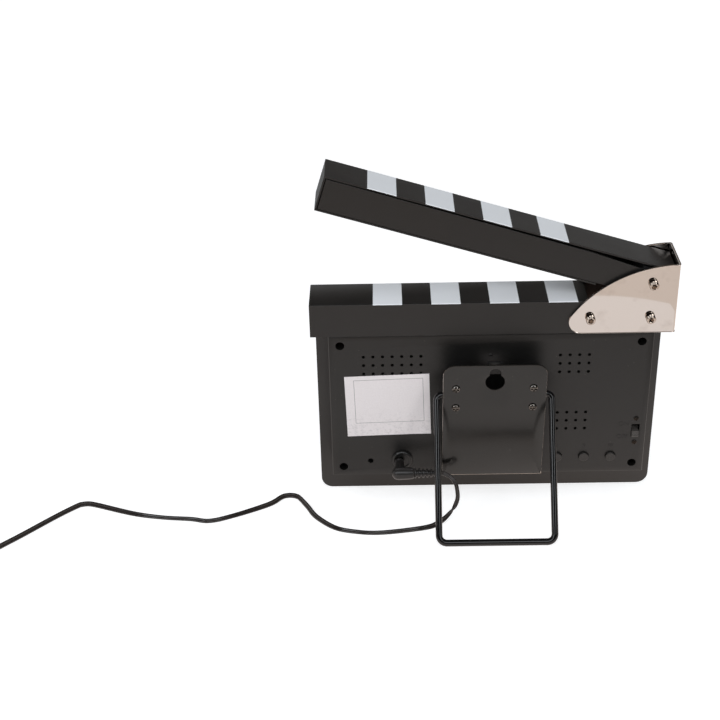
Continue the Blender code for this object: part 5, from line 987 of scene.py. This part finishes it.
def make_jack():
    """The power socket: a bevelled ring with a dished face, a bore beside its middle, and a pin."""
    base, face = PANEL_Y / MM + 0.3, PANEL_Y / MM + 1.8
    back = face - 12.5
    offset = (JACK_BORE_OFFSET, 0, 0)
    outer = [(5.2, back), (5.2, base), (6.3, base), (6.3, face - 0.85), (6.22, face - 0.7),
             (5.6, face - 0.08), (5.4, face), (4.9, face), (4.75, face - 0.08), (4.35, face - 0.5)]
    bore = [(2.6, face - 0.5), (2.45, face - 0.65), (2.45, face - 10.5)]
    loop = np.concatenate((
        turned(np.array(outer) * MM, 48), turned(np.array(bore) * MM, 48) + offset,
        turned(np.array([(2.0, back)]) * MM, 48)))
    surface("power_socket", [(loop + JACK_PLACE, True)], "jack_plastic", ("dc_jack",))
    rows = [(0, back + 0.5), (0.9, back + 0.5), (0.6, back + 1.2), (0.6, face - 1.2), (0.4, face - 0.8),
            (0, face - 0.7)]
    pin = turned(np.array(rows) * MM, 20) + JACK_PLACE + offset
    surface("socket_pin", [(pin, False)], "screw_steel")


def ray_outline(outline, centre, angles):
    """Where rays from a centre at given angles meet a closed outline, the furthest meeting."""
    start = outline - centre
    run = np.roll(start, -1, axis=0) - start
    direction = np.column_stack((np.cos(angles), np.sin(angles)))
    (x, y), (run_x, run_y) = start.T[:, None], run.T[:, None]
    way_x, way_y = direction.T[:, :, None]
    cross = way_x * run_y - way_y * run_x
    safe = np.where(np.abs(cross) < 1e-15, 1e-15, cross)
    distance = (x * run_y - y * run_x) / safe
    share = (x * way_y - y * way_x) / safe
    good = (share >= -1e-9) & (share <= 1 + 1e-9) & (distance > 0) & (np.abs(cross) > 1e-15)
    far = np.where(good, distance, 0).max(axis=1)
    return centre + direction * far[:, None]


def make_plate():
    """The slanted plate: a sheet with two round corners, and a keyhole whose rim is rounded too.

    Its rings run from its outer edge over its face into the keyhole and back underneath. Each
    ring has its points on the same rays from the keyhole's middle.
    """
    square = 0.3 * MM
    radii = (square, square, PLATE_CORNER, PLATE_CORNER)
    outline = rounded_rectangle(-PLATE_HALF, PLATE_HALF, -PLATE_HEIGHT, 0, radii, 12)
    centre = np.array((0.0, -KEYHOLE_DROP))
    opening = math.acos(SLOT_HALF / KEYHOLE_RADIUS)
    low = np.linspace(math.pi - opening, math.tau + opening, 40)
    high = np.linspace(0, math.pi, 17)
    keyhole = np.concatenate((
        centre + KEYHOLE_RADIUS * np.column_stack((np.cos(low), np.sin(low))),
        np.column_stack((SLOT_HALF * np.cos(high), -SLOT_DROP - SLOT_HALF + SLOT_HALF * np.sin(high)))))
    corners = np.concatenate((outline, keyhole)) - centre
    angles = np.unique(np.round(np.concatenate((
        np.arctan2(corners[:, 1], corners[:, 0]), np.linspace(-math.pi, math.pi, 121)[:-1])), 5))
    outer = ray_outline(outline, centre, angles)
    inner = ray_outline(keyhole, centre, angles)
    edge, part, under = PLATE_EDGE, 0.3 * PLATE_EDGE, -PLATE_SHEET
    rim = ((edge, 0), (part, -part), (0, -edge), (0, under + edge))
    foot = ((edge, under), (part, under + part))
    shares = (0.25, 0.5, 0.75)
    rows = [at_height(inset(outer, drawn), height) for drawn, height in rim[::-1]]
    rows += [at_height(outer * (1 - share) + inner * share, 0.0) for share in shares]
    rows += [at_height(inset(inner, -drawn), height) for drawn, height in rim + foot[::-1]]
    rows += [at_height(outer * (1 - share) + inner * share, under) for share in shares[::-1]]
    rows += [at_height(inset(outer, drawn), height) for drawn, height in foot]
    surface("keyhole_plate", [(rows, True)], "plate_paint", ("mount_plate",), from_plate)


def make_small_marks():
    """A flat stop behind the keyhole's slot, and the ring that the mould's gate left on the cover."""
    outline = rounded_rectangle(-4.6 * MM, 4.6 * MM, -9.4 * MM, -0.8 * MM, (0.4 * MM,) * 4, 3)
    rings = slab(outline, -5.2 * MM, -4.4 * MM, 0.15 * MM)
    # The stop is painted near black, as the shade behind the plate
    surface("keyhole_stop", [(rings, False)], "painted_shade_mark", (), from_plate)
    rows = [(0.55, -0.1), (0.6, 0.1), (0.75, 0.18), (0.95, 0.14), (1.1, 0.0), (1.1, -0.1)]
    ring = turned(np.array(rows) * MM, 24) + GATE_RING_PLACE
    surface("gate_ring", [(ring, True)], "moulded_abs")


def make_label():
    """The paper label: a thin sheet that lifts a little toward its lower right corner.

    The lift is the square of the nearness to that corner, and a slow wave of sine times cosine.
    """
    a, b = np.meshgrid(np.linspace(-1, 1, 41), np.linspace(-1, 1, 33))
    x, z = a * LABEL_HALF_WIDTH, b * LABEL_HALF_HEIGHT
    corner = np.clip(1 - np.hypot(a + 1, b + 1) / 0.5, 0, 1)
    lift = 0.1 * MM + 0.35 * MM * corner ** 2 + 0.03 * MM * (np.sin(3 * a + 1) * np.cos(2 * b) + 1)
    outer = np.stack((x, lift + 0.1 * MM, z), axis=-1)
    under = np.stack((x, lift, z), axis=-1)
    rings = turn(np.concatenate((outer, under[:, ::-1]), axis=1), LABEL_TURN, 1) + LABEL_MIDDLE
    surface("paper_label", [(rings, False)], "label_paper", ("rating_label",), sharp=60)


def make_panel_marks():
    """ON and OFF beside the switch, and one, two and three bars over the buttons, a little raised and
    painted dark as their shade.
    """
    for name, words, x, z in SWITCH_WORDS:
        curve = bpy.data.curves.new(name, "FONT")
        curve.body = words
        curve.size = WORD_SIZE * MM
        curve.extrude = 0.05 * MM
        curve.align_x = curve.align_y = "CENTER"
        written = bpy.data.objects.new(name, curve)
        bpy.context.scene.collection.objects.link(written)
        graph = bpy.context.evaluated_depsgraph_get()
        data = bpy.data.meshes.new_from_object(written.evaluated_get(graph))
        bpy.data.objects.remove(written)
        move_points(data, lambda points: from_case(np.column_stack((
            -points[:, 0] + x * MM, points[:, 2] + PANEL_Y + 0.05 * MM, points[:, 1] + z * MM))))
        with edited(data) as work:
            bmesh.ops.remove_doubles(work, verts=work.verts, dist=1e-7)
            bmesh.ops.recalc_face_normals(work, faces=work.faces)
        # The words take the near-black of painted shade
        shown(name, data, "painted_shade_mark")
    for index, (_, x) in enumerate(BUTTONS):
        bars = []
        for bar in range(index + 1):
            middle = (x + (bar - index / 2) * MARK_PITCH) * MM
            outline = rounded_rectangle(middle - MARK_HALF * MM, middle + MARK_HALF * MM,
                                        MARK_LOW * MM, MARK_HIGH * MM, (0.25 * MM,) * 4, 3)
            bars.append((slab(outline, PANEL_Y, PANEL_Y + 0.1 * MM, 0.03 * MM), False))
        surface(f"button_mark_{index + 1}", bars, "painted_shade_mark")


def bow_back_plate(piece):
    """Lowers the back plate's upper edge toward the hinge, which opens a dark wedge over it.

    The drop grows evenly from nought at BOW_START from the pivot to its full size at BOW_END, and
    moves only what lies above BOW_ABOVE. The long edges are divided first, so that they can bend.
    """
    with edited(piece.data) as work:
        long_edges = [edge for edge in work.edges if edge.calc_length() > BOW_START]
        bmesh.ops.subdivide_edges(work, edges=long_edges, cuts=40)

    def bowed(points):
        case_points = turn(points - (0.0, CASE_SHIFT, 0.0), LEAN, 0)
        local = turn(case_points - PIVOT, OPEN_ANGLE, 1)
        drop = BOW_DROP * np.clip((BOW_START - local[:, 0]) / (BOW_START - BOW_END), 0, 1)
        local[:, 2] -= np.where(local[:, 2] > BOW_ABOVE, drop, 0)
        return from_clapper(local)

    move_points(piece.data, bowed)


def dress_nodes():
    """Rounded copies of the large shells, and finishes for the CAD nodes whose shape is right."""
    softened("folded_lower_stick", "lower_stick", "stick_paint", 0.35 * MM)
    softened("folded_clapper", "clapper_shell", "clapper_paint", 0.35 * MM, "clapper")
    bow_back_plate(softened("clapper_back_plate", "clapper_back", "back_paint", 0.2 * MM, "clapper"))
    softened("wood_block", "hinge_block", "block_wood", 0.4 * MM)
    softened("back_box", "rear_cover", "moulded_abs", 0.15 * MM)
    softened("slate", "slate_board", "slate_paint", 0.4 * MM)
    softened("smoked_pane", "display_window", "smoked_acrylic", 0.2 * MM)
    softened("slide_knob", "switch_knob", "knob_plastic", 0.15 * MM, "switch_knob")
    for look, names in {
        "circuit_board": ("display_board", "button_board"),
        "lamp_case": ("digit_1", "digit_2", "digit_3", "digit_4", "colon_lamps"),
        "inner_plastic": ("buzzer", "side_socket", "closing_sensor", "pivot_block", "stand_clamp_1",
                          "stand_clamp_2"),
        "screw_steel": ("cover_screw_1", "cover_screw_2", "cover_screw_3", "cover_screw_4",
                        "closing_magnet"),
        "black_oxide": ("switch_frame",),
    }.items():
        for name in names:
            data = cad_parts[name].data
            data.materials.clear()
            data.materials.append(LOOKS[look])


def white_when_seen(tree):
    """One where a ray comes from the camera, a reflection or a clear sheet, and nought elsewhere."""
    paths = node(tree, "LightPath").outputs
    return chain(tree, "Math", (
        ("seen", "MAXIMUM", paths["Is Camera Ray"], paths["Is Glossy Ray"]),
        ("seen_or_through", "MAXIMUM", "seen", paths["Is Transmission Ray"]),
    ))["seen_or_through"], paths


def staged(name, points, faces, look):
    """Puts a mesh of the studio in the scene."""
    data = bpy.data.meshes.new(name)
    data.from_pydata(points, [], faces)
    data.materials.append(look)
    piece = bpy.data.objects.new(name, data)
    bpy.context.scene.collection.objects.link(piece)
    return piece


def make_table():
    """A pale table that stays white to the camera and in reflections, and keeps a soft shadow.

    Reflections show it a little warm. They also show its front edge: past EDGE_Y, less a round
    corner at the camera's right, it is darker and browner, and it is black far beyond the
    clock. Two gains brighten its reflection: near the clock's foot, more so to the right, and
    past the edge, more so to the left.
    """
    made, tree, shader, place = finish("white_table", "#C8C8C8", 0.8)
    seen, paths = white_when_seen(tree)
    parts = node(tree, "SeparateXYZ", {0: place}).outputs
    x, y = parts["X"], parts["Y"]
    near = node(tree, "MapRange", {"Value": y, "From Min": 0.10, "From Max": 0.0})
    right = node(tree, "MapRange", {
        "Value": x, "From Min": 0.03, "From Max": -0.07, "To Min": 0.2, "To Max": 0.6})
    left = node(tree, "MapRange", {"Value": x, "From Min": -0.07, "From Max": 0.05, "To Max": 0.45})
    steps = chain(tree, "Math", (
        ("aside", "SUBTRACT", CORNER_X, x),
        ("beyond", "MAXIMUM", "aside", 0.0),
        ("square", "MULTIPLY", "beyond", "beyond"),
        ("curve", "MULTIPLY", "square", CORNER_CURVE),
        ("reach", "ADD", "curve", y),
        ("past", "GREATER_THAN", "reach", EDGE_Y),
        ("far_side", "LESS_THAN", y, FAR_SIDE_Y),
        ("at_foot", "MULTIPLY", "near", "right"),
        ("beyond_edge", "MULTIPLY", "past", "left"),
        ("more", "ADD", "at_foot", "beyond_edge"),
        ("gain", "ADD", "more", 1.0),
    ), near=near.outputs[0], right=right.outputs[0], left=left.outputs[0])
    front = node(tree, "Mix", {0: steps["past"], 6: NEAR_GLOW, 7: PAST_GLOW}, data_type="RGBA")
    front = node(tree, "VectorMath", {0: front.outputs[2], 3: steps["gain"]}, operation="SCALE")
    inputs = {0: steps["far_side"], 6: front.outputs[0], 7: NO_GLOW}
    whole = node(tree, "Mix", inputs, data_type="RGBA")
    inputs = {0: paths["Is Glossy Ray"], 6: CAMERA_GLOW, 7: whole.outputs[2]}
    tone = node(tree, "Mix", inputs, data_type="RGBA")
    glow = node(tree, "Emission", {"Color": tone.outputs[2], "Strength": seen})
    both = node(tree, "AddShader", {0: shader.outputs[0], 1: glow.outputs[0]})
    tree.links.new(both.outputs[0], tree.nodes["Material Output"].inputs["Surface"])
    half = TABLE_HALF
    corners = [(-half, -half, 0), (half, -half, 0), (half, half, 0), (-half, half, 0)]
    staged("pale_table", corners, [(0, 1, 2, 3)], made)


def make_flags():
    """Dark cards round the set and over it, seen only in gloss, as a studio hangs them.

    Each is a patch of a sphere, as far as its radius from the middle at each azimuth and height.
    """
    for name, radius, sides, heights, tone in FLAGS:
        a, b = np.meshgrid(np.radians(np.linspace(*sides, 49)), np.radians(np.linspace(*heights, 13)))
        points = radius * np.stack((np.cos(b) * np.sin(a), np.cos(b) * np.cos(a), np.sin(b)), axis=-1)
        index = np.arange(a.size).reshape(a.shape)
        faces = np.stack((index[:-1, :-1], index[1:, :-1], index[1:, 1:], index[:-1, 1:]), axis=-1)
        made, _, shader, _ = finish(name + "_cloth", "#050505", 1.0, Specular_IOR_Level=0.0)
        shader.inputs["Emission Color"].default_value = FLAG_TINT
        shader.inputs["Emission Strength"].default_value = tone
        card = staged(name, points.reshape(-1, 3).tolist(), faces.reshape(-1, 4).tolist(), made)
        card.visible_camera = card.visible_diffuse = card.visible_shadow = False
        card.visible_transmission = False


def make_lights():
    """Two tall soft boxes beside the camera, a fill over it that leaves no reflection, and a world
    that is brighter on the camera's side."""
    world = bpy.data.worlds.new("studio")
    bpy.context.scene.world = world
    world.use_nodes = True
    tree = world.node_tree
    background = tree.nodes["Background"]
    seen, _ = white_when_seen(tree)
    way = node(tree, "TexCoord").outputs["Generated"]
    facing = node(tree, "VectorMath", {0: way, 1: WORLD_AXIS}, operation="DOT_PRODUCT")
    room = node(tree, "MapRange", {
        "Value": facing.outputs["Value"], "From Min": -1.0, "From Max": 1.0,
        "To Min": WORLD_DIMMEST, "To Max": WORLD_BRIGHTEST})
    strength = node(tree, "MapRange", {"Value": seen, "To Min": room.outputs[0], "To Max": 1.0})
    colour = node(tree, "Mix", {
        0: seen, 6: WORLD_TINT, 7: (1.0, 1.0, 1.0, 1.0)}, data_type="RGBA")
    tree.links.new(strength.outputs[0], background.inputs["Strength"])
    tree.links.new(colour.outputs[2], background.inputs["Color"])

    for name, place, target, wide, high, power, tint, gloss in LAMPS:
        lamp = bpy.data.lights.new(name, "AREA")
        lamp.specular_factor = gloss
        lamp.shape = "RECTANGLE"
        lamp.size, lamp.size_y = wide, high
        lamp.energy = power
        lamp.color = tint
        back = np.array(place) - target
        back /= np.linalg.norm(back)
        side = np.cross((0.0, 0.0, 1.0), back)
        side /= np.linalg.norm(side)
        set_up(name, lamp, side, np.cross(back, side), back, place)
    bpy.context.scene.view_settings.view_transform = "Standard"


LOOKS = {
    "moulded_abs": moulded_abs(),
    "slate_paint": slate_paint(),
    "stick_paint": stick_paint("stick_paint", False),
    "clapper_paint": stick_paint("clapper_paint", True),
    # The same paint as the sticks', without stripes: a soft sheen over its whole length
    "back_paint": plain_paint("back_paint", ("#11100F", "#151312"), (0.36, 0.44)),
    "plate_paint": plate_paint(),
    # Nickel-plated steel: a warm mirror that shows the table's front edge
    "bright_steel": polished_steel("bright_steel", "#D6D0CB", (0.012, 0.045)),
    # Zinc-plated screws: warmer and duller than the bracket, with soft highlights
    "screw_steel": polished_steel("screw_steel", "#C2B7AD", (0.08, 0.16)),
    "gloss_wire": gloss_wire(),
    "label_paper": label_paper(),
    "block_wood": block_wood(),
    "smoked_acrylic": smoked_acrylic(),
    "lamp_case": lit_plastic(),
    # Solder mask on glass laminate: dark green, half matt
    "circuit_board": plain_paint("circuit_board", ("#123A24", "#184A2E"), (0.35, 0.5)),
    # Unpolished ABS inside the case: flat black
    "inner_plastic": plain_paint("inner_plastic", ("#121212", "#181818"), (0.5, 0.6)),
    # Moulded buttons: a smoother black than the panel, so that they stand out from it
    "button_plastic": plain_paint("button_plastic", ("#1E1C1A", "#24211F"), (0.32, 0.4)),
    # The knob's acetal: a grey black that catches the light
    "knob_plastic": plain_paint("knob_plastic", ("#3C3936", "#46423F"), (0.25, 0.35)),
    # Blackened steel: dark, with dull metal highlights
    "black_oxide": polished_steel("black_oxide", "#35312E", (0.2, 0.3)),
    # Smooth moulded socket: black, with a thin highlight along its rim
    "jack_plastic": plain_paint("jack_plastic", ("#11100F", "#151413"), (0.3, 0.4)),
    # Black-nickelled screws: grey mirrors whose crosses stay dark
    "black_screw": polished_steel("black_screw", "#6E6A66", (0.1, 0.18)),
    # Soft PVC of the plug: satin black with a coarse, shallow grain
    "plug_pvc": plain_paint("plug_pvc", ("#1C1A19", "#23201F"), (0.3, 0.38), 0.8 * MM),
    # Extruded PVC of the lead: a smoother brown black with long highlights
    "lead_pvc": plain_paint("lead_pvc", ("#221E1C", "#2B2623"), (0.2, 0.3), 3.0 * MM),
    # Woven strap: dull black
    "tie_strap": plain_paint("tie_strap", ("#101010", "#161616"), (0.55, 0.65)),
    # Textured polycarbonate: an even, half-matt black
    "adapter_plastic": plain_paint("adapter_plastic", ("#1B1B1B", "#212121"), (0.42, 0.52)),
    # Brushed brass contact pins: yellow, half bright
    "pin_brass": polished_steel("pin_brass", "#C9B27A", (0.18, 0.3)),
    # Raised lettering in the case's plastic, painted darker than the panel as the shade along its
    # strokes, so that it can be read
    "painted_shade_mark": plain_paint("painted_shade_mark", ("#070606", "#0A0909"), (0.5, 0.6)),
}

make_camera()
lead, lead_path = make_lead()
tie = make_tie()
make_plug()
strain_relief = make_relief()
adapter = make_adapter()
make_stand()
make_bracket()
make_socket_screws()
make_pivot_hardware()
make_dome_screws()
make_buttons()
make_jack()
make_plate()
make_small_marks()
make_label()
make_panel_marks()
dress_nodes()
make_table()
make_flags()
make_lights()
